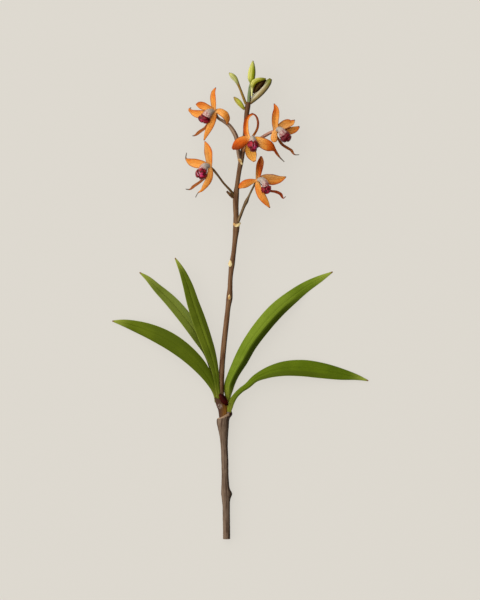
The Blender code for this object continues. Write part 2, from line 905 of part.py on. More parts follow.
def lip_shape(lip, column_end, extra=0.0):
    """A domed lip in front of its column, with a lobed and toothed rim that curls back."""
    forward = unit(np.array(lip.facing, float))
    right = unit(np.cross((0.0, 1.0, 0.0), forward))
    up = np.cross(forward, right)
    middle = np.array(column_end[:3], float) + forward * LIP_LEAD
    heart = middle - forward * lip.radius * LIP_HEART
    shape = bmesh.new()
    skins = []
    for depth in (-extra, LIP_THICKNESS + extra):
        rings = []
        for ring in range(LIP_RINGS + 1):
            share = ring / LIP_RINGS * (1 + 2 * extra / lip.radius)
            loop = []
            for turn in range(LIP_SEGMENTS if ring else 1):
                angle = 2 * math.pi * turn / LIP_SEGMENTS
                lobes = LIP_LOBE_DEPTH * math.cos(LIP_LOBES * (angle + math.pi / 2))
                teeth = LIP_TOOTH_DEPTH * math.cos(LIP_TEETH * angle)
                reach = lip.radius * share * (1 + (lobes + teeth) * share)
                flat = reach * (math.cos(angle) * right + math.sin(angle) * up)
                point = middle + flat - forward * lip.radius * LIP_CURL * share**2
                point = point + unit(heart - point) * depth
                loop.append(shape.verts.new(in_metres(point)))
            rings.append(loop)
        skins.append(rings)
        for low, high in zip(rings, rings[1:]):
            for turn in range(LIP_SEGMENTS):
                after = (turn + 1) % LIP_SEGMENTS
                if len(low) == 1:
                    shape.faces.new((low[0], high[turn], high[after]))
                else:
                    shape.faces.new((low[turn], high[turn], high[after]))
                    shape.faces.new((low[turn], high[after], low[after]))
    outer, inner = skins[0][-1], skins[1][-1]
    for turn in range(LIP_SEGMENTS):
        after = (turn + 1) % LIP_SEGMENTS
        shape.faces.new((outer[turn], inner[turn], inner[after]))
        shape.faces.new((outer[turn], inner[after], outer[after]))
    return shape


def booleaned(target, tools, operation):
    """The target with the tools joined to it or cut from it, and the tools removed."""
    group = bpy.data.collections.new(target.name + "_tools")
    bpy.context.scene.collection.children.link(group)
    for tool in tools:
        tool.hide_render = True
        tool.display_type = "WIRE"
        bpy.context.scene.collection.objects.unlink(tool)
        group.objects.link(tool)
    modifier = target.modifiers.new(operation.lower(), "BOOLEAN")
    modifier.operation = operation
    modifier.operand_type = "COLLECTION"
    modifier.collection = group
    modifier.solver = "EXACT"
    bpy.context.view_layer.update()
    evaluated = target.evaluated_get(bpy.context.evaluated_depsgraph_get())
    result = bpy.data.meshes.new_from_object(evaluated)
    target.modifiers.clear()
    target.data = result
    for tool in tools:
        bpy.data.objects.remove(tool)
    bpy.data.collections.remove(group)
    return target


def joined(name, shapes, finish):
    """One solid from shapes that run well into each other."""
    pieces = [as_object(f"{name}_{index}", shape, finish) for index, shape in enumerate(shapes)]
    first = booleaned(pieces[0], pieces[1:], "UNION")
    first.name = name
    return first


def cleared(target, jackets):
    """The target with its neighbours' jackets cut out of it, so that it fits round them."""
    tools = [as_object(f"{target.name}_jacket_{n}", shape, "cane_bark") for n, shape in enumerate(jackets)]
    return booleaned(target, tools, "DIFFERENCE")


def cane_shapes(extra=0.0):
    eyes = [ball(middle, (r, r * 1.25, r), extra=extra) for middle, r in CANE_EYES]
    return [tube(CANE, CANE_SIDES, CANE_RINGS, extra, slants=(0.0, TOP_SLANT)), *eyes]


def sheath_shape(extra=0.0):
    return tube(SHEATH, CANE_SIDES, SHEATH_RINGS, extra, slants=(TOP_SLANT, -0.2))


def stem_shape(extra=0.0):
    return tube(STEM, STEM_SIDES, STEM_RINGS, extra, slants=(TOP_SLANT, 0.0))


def from_hub(hub, rows):
    return [(hub[0] + row[0], hub[1] + row[1], hub[2] + row[2], row[3]) for row in rows]


def tepal_shapes(flower, extra=0.0):
    """The hub of a flower and the tepals that grow from it."""
    shapes = [ball(flower.hub, (HUB_RADIUS,) * 3, 8, 5, extra)]
    for tepal in flower.tepals:
        form = tepal._replace(rows=from_hub(flower.hub, tepal.rows))
        stations = len(tepal.rows) + TEPAL_EXTRA_STATIONS
        shapes.append(blade(form, stations, TEPAL_THICKNESS, extra=extra))
    return shapes


def stalk_shape(flower, extra=0.0):
    return tube(flower.stalk, STALK_SIDES, 2 * len(flower.stalk) + 2, extra)


def build_axis():
    """The cane, the sheath on its collar and the flower stem that rises through the sheath."""
    joined("cane", cane_shapes(), "cane_bark")
    sheath = as_object("leaf_sheath", sheath_shape(), "sheath_paper")
    cleared(sheath, [stem_shape(GAP), *cane_shapes(GAP)])
    stem = as_object("flower_stem", stem_shape(), "stem_skin")
    cleared(stem, cane_shapes(GAP))
    for name, (middle, sizes) in STEM_EYES.items():
        cleared(as_object(name, ball(middle, sizes), "scale_cream"), [stem_shape(GAP)])


def build_leaves():
    for name, form in LEAVES.items():
        leaf = as_object(name, blade(form, LEAF_STATIONS, LEAF_THICKNESS, on_table=True), "leaf_green")
        cleared(leaf, [stem_shape(GAP), sheath_shape(GAP), *cane_shapes(GAP)])


def build_flower(number, flower):
    route = from_hub(flower.hub, flower.column)
    end = route[-1]
    tepals = joined(f"flower_{number}_tepals", tepal_shapes(flower), "tepal_orange")
    cleared(tepals, [tube(route, STALK_SIDES, COLUMN_RINGS, GAP), lip_shape(flower.lip, end, GAP)])
    column = as_object(f"flower_{number}_column", tube(route, STALK_SIDES, COLUMN_RINGS), "column_blush")
    cleared(column, [lip_shape(flower.lip, end, GAP)])
    as_object(f"flower_{number}_lip", lip_shape(flower.lip, end), "lip_crimson")
    stalk = as_object(f"flower_{number}_stalk", stalk_shape(flower), "stem_skin")
    cleared(stalk, [stem_shape(GAP), *tepal_shapes(flower, GAP)])


def build_buds():
    """Each bud makes room for the stem and for the buds before it."""
    before = []
    for name, rows in BUDS.items():
        bud = as_object(name, tube(rows, STALK_SIDES, BUD_RINGS), BUD_FINISHES.get(name, "bud_green"))
        cleared(bud, [stem_shape(GAP)] + [tube(other, STALK_SIDES, BUD_RINGS, GAP) for other in before])
        before.append(rows)


def build_scales():
    for name, form in SCALES.items():
        shape = blade(form, SCALE_STATIONS, SCALE_THICKNESS)
        scale = as_object(name, shape, SCALE_FINISHES.get(name, "scale_cream"))
        stalks = [stalk_shape(flower, GAP) for flower in FLOWERS]
        cleared(scale, [stem_shape(GAP), sheath_shape(GAP), *stalks])


def main():
    for old in list(bpy.data.objects):
        bpy.data.objects.remove(old)
    build_axis()
    build_leaves()
    for number, flower in enumerate(FLOWERS, 1):
        build_flower(number, flower)
    build_buds()
    build_scales()


main()
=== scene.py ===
"""The looks of a cut flowering cane of an epidendrum orchid that lies on its back on a table.

The plant is laid out in millimetres: u to the right of the cane's foot, v along the plant from the cut
end towards the buds, w up from the table. A row of a route holds u, v, w and the radius of a stem there,
or half the width of a blade.
"""

import functools
import math
from collections import namedtuple

import bmesh
import bpy
import mathutils
import numpy as np
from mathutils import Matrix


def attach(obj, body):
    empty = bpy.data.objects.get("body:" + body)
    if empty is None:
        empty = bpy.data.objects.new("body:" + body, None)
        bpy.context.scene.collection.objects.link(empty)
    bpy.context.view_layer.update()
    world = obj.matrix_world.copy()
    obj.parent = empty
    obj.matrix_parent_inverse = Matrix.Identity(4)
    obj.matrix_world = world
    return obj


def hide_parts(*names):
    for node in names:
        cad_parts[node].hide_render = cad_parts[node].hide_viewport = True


bl_info = {
    "name": "Epidendrum cane",
    "version": (1, 0, 0),
    "blender": (4, 5, 0),
    "location": "3D View > Sidebar > Epidendrum",
    "description": "Grows a cut flowering cane with its leaves, blooms and buds, and a plain stage for it",
    "category": "Object",
}

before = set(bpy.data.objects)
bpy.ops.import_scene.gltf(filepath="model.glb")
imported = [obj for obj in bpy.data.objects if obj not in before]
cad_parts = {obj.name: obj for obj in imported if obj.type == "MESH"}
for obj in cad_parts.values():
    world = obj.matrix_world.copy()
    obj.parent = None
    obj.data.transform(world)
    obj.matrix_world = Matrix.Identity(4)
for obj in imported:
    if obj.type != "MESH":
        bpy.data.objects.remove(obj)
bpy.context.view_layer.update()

MM = 0.001
# The middle of the whole plant's outline, which is the origin.
MIDDLE_U = 12.88
MIDDLE_V = 215.48

# A blade's cup and crease bend both its sides up, or down where they are less than 0. Its tone turns from
# the first number at its base to the second at its tip, and grows by the third towards the side on the
# right of its heading. On a tepal the tone is partly its own colour and partly painted light and shade:
# higher is deeper, lower is paler. Its tail is the share that is withered, and its fold bends that same
# side down.
Blade = namedtuple("Blade", "rows facings cup crease tone tail fold", defaults=((0, 0, 0), 0.0, 0.0))
# A lip's turn, in radians, is about the way that it faces. Its bright, 0 to 1, says how strong its painted
# highlights are and how pink it is; a less bright lip is darker all over.
Lip = namedtuple("Lip", "middle facing sizes turn bright")
Flower = namedtuple("Flower", "hub tepals hood lip stalk")

HUB_RADIUS = 1.6
SCALE_THICKNESS = 0.6
# The smallest radius or half width that a route may have.
THINNEST = 0.05
# Edges that turn more sharply than this stay sharp.
SHARP_ANGLE = math.radians(55)
# A blade folds beyond the first share of its half width, and up to the second share of its length.
FOLD_FROM = 0.55
FOLD_TO = 0.8
# One wave of a blade's edges in radians, and how far the waves lag from one edge to the other.
WAVE_TURN = 6.283
WAVE_SKEW = 1.3
# How narrow the furrow along a blade is, and the half width, in metres, from which it has its full depth.
RIB_SHARPNESS = 90.0
RIB_FROM = 0.003
# How late a blade thins towards its rims and towards its ends.
RIM_POWER = 5.0
END_POWER = 30.0
# How fine the frayed end of a sheath or hood is.
FRAY_GRAIN = 2.4
# A fringe tooth: its sides, its foot and tip as shares of its length, and the lay that colours it.
TOOTH_SIDES = 5
TOOTH_FOOT = 0.22
TOOTH_TIP = 0.04
TOOTH_LAY = (0.0, 0.0, 1.3)
# The height of a raised speck as a share of its width.
SPECK_HEIGHT = 0.3
# The sides, rings and groove depth of the rounded swellings.
LUMP_SIDES = 20
LUMP_RINGS = 12
LUMP_GROOVE = 0.06
# What lies lower than the bend on a leaf is bent smoothly, so that it stays above the first height.
LEAF_FLOOR = 0.05
LEAF_BEND = 0.4
# A cut end slants over this stretch of its stem.
SLANT_REACH = 9
# A lip is a ball of three lobes. It wraps so far round from its front, in radians.
LIP_WRAP = 1.95
LIP_THICKNESS = 0.7
LIP_LOBES = 3
# Depths, as shares of its radius, of the grooves between the lobes, the fine ribs and the dimple.
LIP_GROOVE = 0.24
LIP_RIB = 0.04
LIP_RIBS = 27
LIP_DIMPLE = 0.16
# How far the dimple reaches, in radians.
DIMPLE_REACH = 0.32
# Two ridges run from the dimple towards the column: their place beside the middle, height and width.
LIP_RIDGE_PLACE = 0.2
LIP_RIDGE = 0.09
LIP_RIDGE_WIDTH = 0.08
# The place on a lip, in its stored lay, that is most magenta: a painted highlight.
LIP_FRONT = (0.25, -0.1, 0.25)
LIP_SEGMENTS = 216
LIP_RINGS = 32
HOOD_WALL = 0.5
SHEATH_WALL = 0.6
# From the one u to the other the sheath turns from brown to rusty.
SHEATH_TURN = (-5, 1.5)
# The middle of the sheath's torn patch.
TORN_PATCH = (-5.7, 120, 13)
# The slope of the sheath's upper end.
SHEATH_SLANT = -0.2
BUD_RINGS = 90
BUD_SEPALS = 3
# The cut face of the cane: its rings, how far it is dished, stands proud and reaches across the end.
CUT_RINGS = 8
CUT_SIDES = 40
CUT_DISH = 0.35
CUT_PROUD = 0.12
CUT_REACH = 0.86
# The cut face is closed by a point this far inside the cane.
CUT_ROOT = 2

# The cane, from its cut end over a swollen joint to the collar, whose top slants up to the right.
TOP_SLANT = 0.82
CANE = [
    (0.5, 0, 3.6, 3.25), (0.3, 18, 3.9, 3.3), (0.1, 32, 4.2, 3.5), (-0.1, 38, 4.3, 4),
    (-0.2, 41, 4.4, 4.3), (-0.5, 45.5, 4.5, 3.8), (-0.8, 54, 4.8, 3.3), (-1.1, 72, 5.5, 3.2),
    (-1.6, 84, 6.1, 3.25),
    (-2, 93.4, 6.8, 3.9), (-2.4, 101, 7.3, 4.9), (-2.3, 107, 7.6, 5.2), (-1.6, 112, 7.9, 5.2),
]
# Dormant eyes that swell the cane: middle, height, reach, and how dark they are.
CANE_EYES = [
    ((3.9, 40.5, 4.9), 1.5, 3.2, 0.3), ((3.4, 113.2, 9), 2, 2.9, 1), ((-6, 106, 8.4), 1.2, 4, 0),
]
SHEATH = [
    (-1.7, 111.4, 7.9, 4.6), (-2.6, 118.5, 8.3, 5), (-3.8, 123, 8.7, 5.6), (-4.3, 127, 8.9, 6.2),
]
STEM = [
    (-2.2, 113.6, 8, 2.2), (-4.4, 128, 9, 2.7), (-4.5, 139.5, 9.8, 2.85), (-3.8, 153, 10.5, 2.6),
    (-1.9, 175.5, 11.7, 2.5), (0.4, 196, 12.8, 2.45), (2, 210.5, 13.5, 2.4), (3.1, 218, 13.8, 2.9),
    (3.6, 226.5, 14.2, 2.3), (4.2, 238.5, 14.7, 2.2), (5.4, 248.5, 15.1, 2.6), (6.7, 257, 15.5, 2.2),
    (8.1, 270, 16.1, 2.3), (9.3, 282.5, 16.7, 3), (9.1, 291, 17.1, 2.5), (8.8, 301.5, 17.6, 2.6),
    (9, 310, 18, 2.8), (10, 318.5, 18.4, 2.2), (11.7, 331, 19, 2.1), (13.5, 341, 19.4, 2.4),
    (15.3, 351, 19.9, 2.2), (16.9, 362, 20.4, 2.15), (17.9, 373.5, 20.9, 2.15),
    (18.8, 384.5, 21.4, 2.2), (19.7, 391, 21.8, 2.4), (20.3, 394, 21.9, 2),
]
# Pale dormant eyes on the flower stem: middle, and half sizes across, along and up.
STEM_EYES = {
    "eye_lower": ((3.1, 218.2, 16.7), (1.4, 2, 0.9)),
    "eye_upper": ((3.9, 248.4, 17.2), (1.9, 2.6, 1)),
}

LEAVES = {
    "leaf_left_low": Blade([(-8.6, 123.5, 8.6, 1.7), (-9.2, 129, 9.8, 1.9), (-10.6, 134.6, 11.2, 2.6),
        (-14.6, 143, 12.4, 4), (-22.2, 154.3, 13.6, 6), (-33.3, 165.8, 14, 7.3),
        (-47.2, 176.4, 12.6, 7.9), (-64.4, 185.6, 9, 7.3), (-82, 192.2, 4.6, 5.2), (-93.5, 195.4, 2.2, 3),
        (-103, 197, 1.4, 0.5)], [(-0.1, -0.1, 1), (0, -0.2, 0.97), (0, -0.1, 1)], -0.16, 0),
    "leaf_left_middle": Blade([(-7.4, 123.5, 4.4, 1.7), (-9.2, 139.5, 4.7, 3), (-11.2, 152, 5, 3.6),
        (-15.6, 167, 5, 4.3), (-25.4, 183.5, 4.8, 5.6), (-37.5, 200.5, 4, 6), (-50, 215, 2.6, 5.4),
        (-63, 227.5, 0.6, 3.8), (-71, 235.5, 0.2, 2.3), (-78.3, 241, 0.2, 0.5)], [(0.3, 0.2, 0.95),
        (0, 0.1, 1), (0, 0, 1)], 0, 0.1),
    "leaf_left_high": Blade([(-6.2, 123.5, 11.6, 1.5), (-8.2, 141, 13.4, 2.3), (-10, 153, 14.2, 3.3),
        (-14, 167.5, 15, 4.9), (-19, 182, 15.5, 5.9), (-24.5, 198, 15.5, 6.1), (-30, 214, 15, 5.5),
        (-35, 230.5, 14, 4.3), (-40.5, 244, 13, 2.5), (-44, 250.5, 12.3, 1.3), (-46, 254, 12, 0.5)],
        [(0.1, 0, 1), (0.1, 0, 1), (0.05, 0.1, 1)], 0, 0.1),
    "leaf_right_high": Blade([(0.6, 123.4, 9, 1.2), (1, 128.6, 10, 2.4), (1, 134, 10.6, 3.8),
        (2, 140.4, 11.4, 4.5), (4.4, 146.5, 12, 4.7), (7.5, 153, 12.9, 5.2), (11.6, 160.6, 14, 6),
        (20.5, 176.5, 15, 6.6), (31.5, 191.5, 14.6, 7.2), (45, 206.5, 11.6, 7.2), (60.5, 219.5, 5.8, 6.2),
        (72, 227.8, 1.4, 4.9), (85.5, 235.5, 0.2, 3), (96.5, 241.5, 0.2, 0.5)], [(-0.5, 0.1, 0.8),
        (-0.2, 0.2, 0.95), (-0.1, 0.1, 1), (0, 0, 1)], -0.1, -0.12, fold=2.4),
    "leaf_right_low": Blade([(2.7, 114.8, 11.8, 1.7), (3.5, 118.8, 12.3, 2.4), (4.9, 123.8, 12.4, 2.7),
        (8.3, 129.4, 12.1, 2.4), (13.6, 134.8, 11.8, 2.4), (19, 138.6, 11.4, 2.7), (26, 145, 11.3, 3.4),
        (36, 150, 11, 5), (50.5, 154, 10, 6.8), (68.5, 154.8, 7.9, 7.7), (86.5, 152.5, 5.4, 7.3),
        (104.5, 149, 3.2, 5.3), (119, 146, 2, 2.5), (128.7, 143, 1.5, 0.5)], [(0, 0.2, 1),
        (-0.1, 0.3, 0.95), (0, 0.15, 1)], -0.14, 0),
}

# Tepals seen on edge turn their face towards the buds.
EDGE_ON_LEFT = [(0.45, 0.75, 0.45), (0.4, 0.75, 0.5)]
EDGE_ON_RIGHT = [(-0.45, 0.75, 0.45), (-0.4, 0.75, 0.5)]
# The routes of a flower's tepals, the hood that its column spreads to, and the middle of its lip are
# measured from its hub. The stalk runs from the stem to the hub.
FLOWERS = [
    Flower(
        hub=(-10.4, 386, 26),
        tepals=[
            Blade([(0, 0, 0, 1.9), (-0.4, 6.3, 1, 2.7), (-0.8, 11.7, 1.2, 3), (-0.6, 16.7, 0.5, 2),
                (1.2, 21.1, -1, 0.4)], [(-0.5, 0, 0.85)], 0.25, 0.1, (0.1, 0.5, 0.15), 0.05),
            Blade([(0, 0, 0, 1.7), (-5.9, 3.1, -1.5, 3.2), (-10.4, 4.9, -3.6, 3.7), (-14, 5.7, -5.6, 2.8),
                (-16.7, 6.1, -7, 0.5)], [(-0.35, -0.3, 0.9)], 0.25, 0, (0.05, 0.5, 0.15)),
            Blade([(0, 0, 0, 1.7), (-5, -1.8, -3, 3), (-11, -2.9, -6, 3.7), (-16, -2.4, -8, 3.4),
                (-20.3, -0.4, -10, 2), (-22.6, 1.8, -10.5, 1), (-21, 3.4, -10, 0.4)], [(-0.3, 0.1, 0.95)],
                0.2, 0.1, (0, 0.4, 0.1), 0.05),
            Blade([(0, 0, 0, 1.8), (5.4, -0.5, 3.6, 3.4), (9.9, -3.5, 5.4, 4), (12.3, -7.8, 3.8, 3.1),
                (11.7, -12.4, 0.5, 0.9)], [(0.1, 0.3, 0.95), (0.6, 0.2, 0.75)], -0.3, 0,
                (-0.05, 0.4, -0.15)),
            Blade([(0, 0, 0, 1.9), (-1.2, -7.2, 2.6, 3), (-3.6, -13.5, 3.4, 3.1), (-6.7, -19.8, 2.4, 2.3),
                (-9.4, -26.6, 0, 0.5)], [(-0.1, 0.1, 1)], -0.2, 0.1, (0.28, 0.25, -0.1)),
            Blade([(0, 0, 0, 0.9), (-3.8, -8, -3.6, 1.3), (-8, -14.8, -5, 1.5), (-13.7, -19, -5.4, 1.8),
                (-17.8, -22, -5, 0.9), (-20, -22.4, -4.4, 0.4)], EDGE_ON_LEFT, 0.1, 0, (1.25, 1.5, 0),
                0.06),
        ],
        hood=[(-0.6, -0.1, 0.8, 1.3), (-2.4, -0.5, 2.4, 2.4), (-4.4, -1.5, 3.6, 3.5),
            (-6.2, -3.3, 3.9, 4.1), (-7.2, -5.2, 3.7, 4.3)],
        lip=Lip((-9.1, -7.5, 3.2), (-0.3, -0.5, 0.8), (5.8, 4.1, 4.2), 2.8, 0.35),
        stalk=[(12.6, 341.4, 20.6, 1.9), (11.2, 348.5, 22.8, 1.9), (10.4, 356, 23.6, 2),
            (9.2, 362.5, 23.8, 2.2), (6.2, 368.4, 23.8, 2.1), (2.6, 373.2, 23.4, 1.9),
            (-2.2, 376.6, 23, 1.5), (-7, 379.6, 23.2, 1.3), (-10, 385.4, 25.2, 1.2)],
    ),
    Flower(
        hub=(-14.4, 335.7, 24),
        tepals=[
            Blade([(0, 0, 0, 2.3), (-0.5, 7.4, 1.5, 3.4), (-1.1, 13.6, 2.4, 3.9), (-2.6, 18.6, 2, 2.5),
                (-4.6, 22.9, 1, 0.5)], [(-0.35, 0, 0.93)], 0.1, 0.3, (0.1, 0.3, 0.25)),
            Blade([(0, 0, 0, 1.8), (-7.2, 2.4, -2.2, 3.6), (-12.6, 3.3, -4.2, 4.1), (-18, 5, -6, 3),
                (-21.6, 7.8, -6.8, 0.8), (-21.1, 13, -6, 0.35)], [(-0.15, -0.1, 1)], 0.25, 0,
                (0, 0.35, 0.15), 0.24),
            Blade([(0, 0, 0, 1.9), (0.2, -6.3, 2.6, 2.8), (-1.2, -11.9, 3.6, 3), (-4.3, -17.1, 3.2, 2.4),
                (-7.9, -21.6, 2, 1.1), (-10.4, -23.2, 1.5, 0.5), (-13, -27.5, 1, 0.35)], [(0.1, 0, 1)],
                -0.2, 0, (0.15, 0.3, -0.2), 0.2),
            Blade([(0, 0, 0, 0.9), (-3.6, -8.6, -3.4, 1.2), (-8.6, -13.2, -4.8, 1.6),
                (-14.4, -17.2, -5.2, 1.7), (-18.5, -20.2, -5, 0.8), (-22.1, -19.8, -4.2, 0.4)],
                EDGE_ON_LEFT, 0.1, 0, (1.25, 1.5, 0), 0.12),
            Blade([(0, 0, 0, 1), (0.6, 1.6, -4.4, 2.6), (-0.2, 4.4, -9, 3.2), (-2, 8.4, -13, 2),
                (-3.6, 11.6, -15, 0.5)], [(-1, 0, 0.1)], 0.2, 0, (0.3, 0.4, 0)),
        ],
        hood=[(-0.8, 0.2, 0.8, 1.5), (-2.6, 0.9, 1.8, 2.5), (-4.4, 0.4, 2.4, 3.3), (-5.8, -1.4, 2.6, 3.9),
            (-6.8, -3.6, 2.6, 4.3)],
        lip=Lip((-7.8, -6.3, 4), (-0.3, -0.3, 0.9), (5.7, 5.4, 5), 0.5, 1),
        stalk=[(8, 309.4, 18.6, 1.5), (4, 314.5, 20.6, 1.2), (-2, 321, 21.4, 1), (-7.4, 328.2, 22, 1.05),
            (-11.6, 333.2, 22.6, 1.2), (-13.8, 335.2, 23.4, 1.1)],
    ),
    Flower(
        hub=(22, 361, 33),
        tepals=[
            Blade([(-1.6, 0, 0, 2), (-3.6, 5.6, -1, 2.5), (-3.9, 12, -1.6, 2.4), (-3.2, 16.9, -2, 1.9),
                (-0.9, 20.2, -2.2, 1.3), (2.3, 22.2, -2.4, 0.9)], [(-0.25, 0, 0.97)], 0.1, 0.3,
                (0.35, 0.7, -0.45)),
            Blade([(1, 0.6, 0, 1.3), (4, 4.8, -1.5, 1.6), (6.3, 9.9, -2.4, 1.9), (6.5, 15.8, -2.7, 1.8),
                (4.7, 20.2, -2.7, 1.4), (2, 22.3, -2.5, 0.9)], [(0.85, -0.1, 0.5), (0.8, 0.3, 0.5)], 0.1,
                0, (0.35, 0.8, 0.25)),
            Blade([(0, 0, 0, 2), (-5.9, -1.8, 1.5, 4.4), (-9.9, -4.5, 2, 5), (-13.5, -7.2, 1.5, 3.8),
                (-16.4, -9.5, 0.4, 1.2)], [(-0.1, 0.1, 1)], -0.2, 0, (0.2, 1, -0.25)),
            Blade([(0, 0, 0, 2), (8.6, -3.1, 1.5, 4.5), (14, -5.8, 1.5, 5.1), (18.5, -8.1, 0.6, 4.1),
                (21.6, -10.4, -1, 1.6), (23.9, -13.9, -2, 1.2), (26.1, -16.7, -3, 0.8),
                (30.4, -21, -4, 0.35)], [(-0.05, 0.15, 1)], -0.15, 0.1, (-0.6, 1.8, -0.1), 0.2),
            Blade([(0, 0, 0, 1.4), (-0.6, -6.4, -3.2, 3.8), (0.2, -11.8, -4, 4.9),
                (1.8, -16.2, -3.8, 4.2), (3.8, -20.8, -3, 1.2)], [(0, -0.2, 1)], 0.2, 0, (-0.3, -0.1, 0)),
        ],
        hood=[(1.2, 1.6, 0.6, 1.4), (1.6, 0.4, 1.6, 2.4), (2, -1.6, 2.2, 3.2), (2.2, -3.6, 2.4, 3.9),
            (2.3, -5.4, 2.4, 4.3)],
        lip=Lip((2.5, -7, 4.6), (0.05, -0.2, 0.97), (5.2, 5.6, 5), 0, 0.6),
        stalk=[(15.6, 350.4, 20.8, 1.6), (18, 353.6, 24, 1.5), (20.2, 357, 28, 1.4),
            (21.6, 360, 31.6, 1.2)],
    ),
    Flower(
        hub=(44.6, 368.5, 26),
        tepals=[
            Blade([(0, 0, 0, 2.3), (-0.5, 7.2, 1, 3), (0, 13.6, 1, 3.3), (0.4, 19, 0, 2.3),
                (-1.4, 24.1, -1.5, 0.4)], [(0.05, 0.05, 1)], 0.25, 0.1, (0.05, 0.55, -0.15), 0.03),
            Blade([(0, 0, 0, 2.1), (5.9, 3.7, -1.4, 3.7), (10.6, 6.1, -2.8, 4), (14.4, 7, -3.8, 2.7),
                (17.4, 9.6, -4.2, 0.4)], [(-0.1, 0.15, 1)], 0.25, 0, (-0.25, 0.4, -0.25), 0.06),
            Blade([(0, 0, 0, 1.6), (7, -1.2, -3.6, 2.9), (13, -0.4, -5.6, 3.4), (18.5, 1.6, -6.8, 2.4),
                (21.6, 3.8, -7.2, 0.6)], [(0.05, 0.1, 1)], 0.2, 0, (0.05, 0.45, 0.1), 0.05),
            Blade([(-0.6, 0, 0, 2.2), (-1.3, -3.4, 4.5, 2.9), (-1.5, -7, 8.5, 3.1), (-1.2, -9.6, 12, 2.4),
                (-0.8, -11.2, 14.5, 0.8)], [(-0.1, 0.9, 0.4)], -0.3, 0, (-0.1, 0.2, 0)),
            Blade([(0, 0, 0, 0.9), (2.2, -7, -3.2, 1), (6, -12.6, -4.2, 1.5), (10.6, -15.8, -4.4, 1.8),
                (14, -17.8, -4.2, 1.4), (16.9, -21.6, -4, 0.7), (21.4, -21.9, -3, 0.4)], EDGE_ON_RIGHT,
                0.1, 0, (1.1, 1.4, 0), 0.16),
        ],
        hood=[(0.8, 0, 1, 1.4), (2.8, 0.8, 2.4, 2.4), (4.8, -0.6, 3.4, 3.3), (6.4, -2.8, 3.8, 3.9),
            (7.4, -4.3, 3.7, 4)],
        lip=Lip((9.2, -6.3, 3.6), (0.4, -0.35, 0.85), (5, 5.3, 4.8), -0.9, 0),
        stalk=[(17, 355.4, 20.6, 1.5), (24, 357.6, 22.2, 1.4), (31, 361.4, 23, 1.5),
            (36.5, 364.6, 23.6, 1.6), (41, 367, 24, 1.4), (43.8, 368.2, 25, 1.2)],
    ),
    Flower(
        hub=(28, 323.5, 27),
        tepals=[
            Blade([(0, 0, 0, 1.6), (1, 7.4, 0, 2.9), (1.9, 13.1, 1, 3.4), (3, 17.8, 1.5, 2.7),
                (3.5, 21.7, 1.5, 0.8)], [(0.3, 0, 0.95)], 0.15, 0.35, (0.05, 1.4, 0.4)),
            Blade([(0, 0, 0, 1), (-6.3, -1.4, 1.8, 3), (-10.8, -3.2, 2.6, 3.6), (-14.4, -5.2, 2.6, 2.6),
                (-16.4, -7.2, 2, 0.8)], [(-0.1, 0.1, 1)], -0.2, 0, (0.3, 0.45, 0.15)),
            Blade([(0, 0, 0, 2), (7.2, 1.6, -2.2, 3.9), (13.5, 0.6, -3.8, 4.9), (19.8, 1, -5, 3.3),
                (26.1, 3.3, -6, 0.5)], [(0.1, 0.05, 1)], 0.2, 0.12, (0, 0.3, 0.35), 0.03),
            Blade([(0, 0, 0, 1.6), (1.2, -7.7, 1.6, 3.2), (4, -14, 2.4, 3.6), (7.7, -19.4, 1.8, 2.7),
                (11.5, -24.8, 0.3, 0.5)], [(-0.1, 0, 1)], -0.2, 0, (0.2, 0.35, 0.15), 0.03),
            Blade([(0, 0, 0, 0.9), (6, -5.6, -4, 1.5), (12.2, -9.5, -5, 2), (17.1, -10.4, -5.2, 2.1),
                (21.2, -12.4, -5, 1.5), (23.6, -16, -4.6, 0.7), (25.9, -14.2, -4, 0.35)], EDGE_ON_RIGHT,
                0.1, 0, (0.8, 1.1, 0), 0.05),
        ],
        hood=[(0.8, 0.4, 1, 1.4), (2.8, 0.6, 2.8, 2.2), (5.2, -0.2, 4.2, 2.7), (7, -2.4, 4.6, 3),
            (8, -5.2, 4.1, 3.1)],
        lip=Lip((8.2, -8.4, 3.4), (0.1, -0.5, 0.85), (4.7, 4.2, 4), 0.4, 0.4),
        stalk=[(10.6, 286, 17.6, 1.6), (13.6, 293.4, 19.6, 1.4), (16.6, 301, 21, 1.5),
            (18.3, 304.5, 21.6, 1.8), (20.4, 309, 22.4, 1.1), (23.6, 315.6, 23.8, 0.95),
            (26.4, 320.8, 25.2, 1.1), (27.6, 322.8, 26, 1.1)],
    ),
]

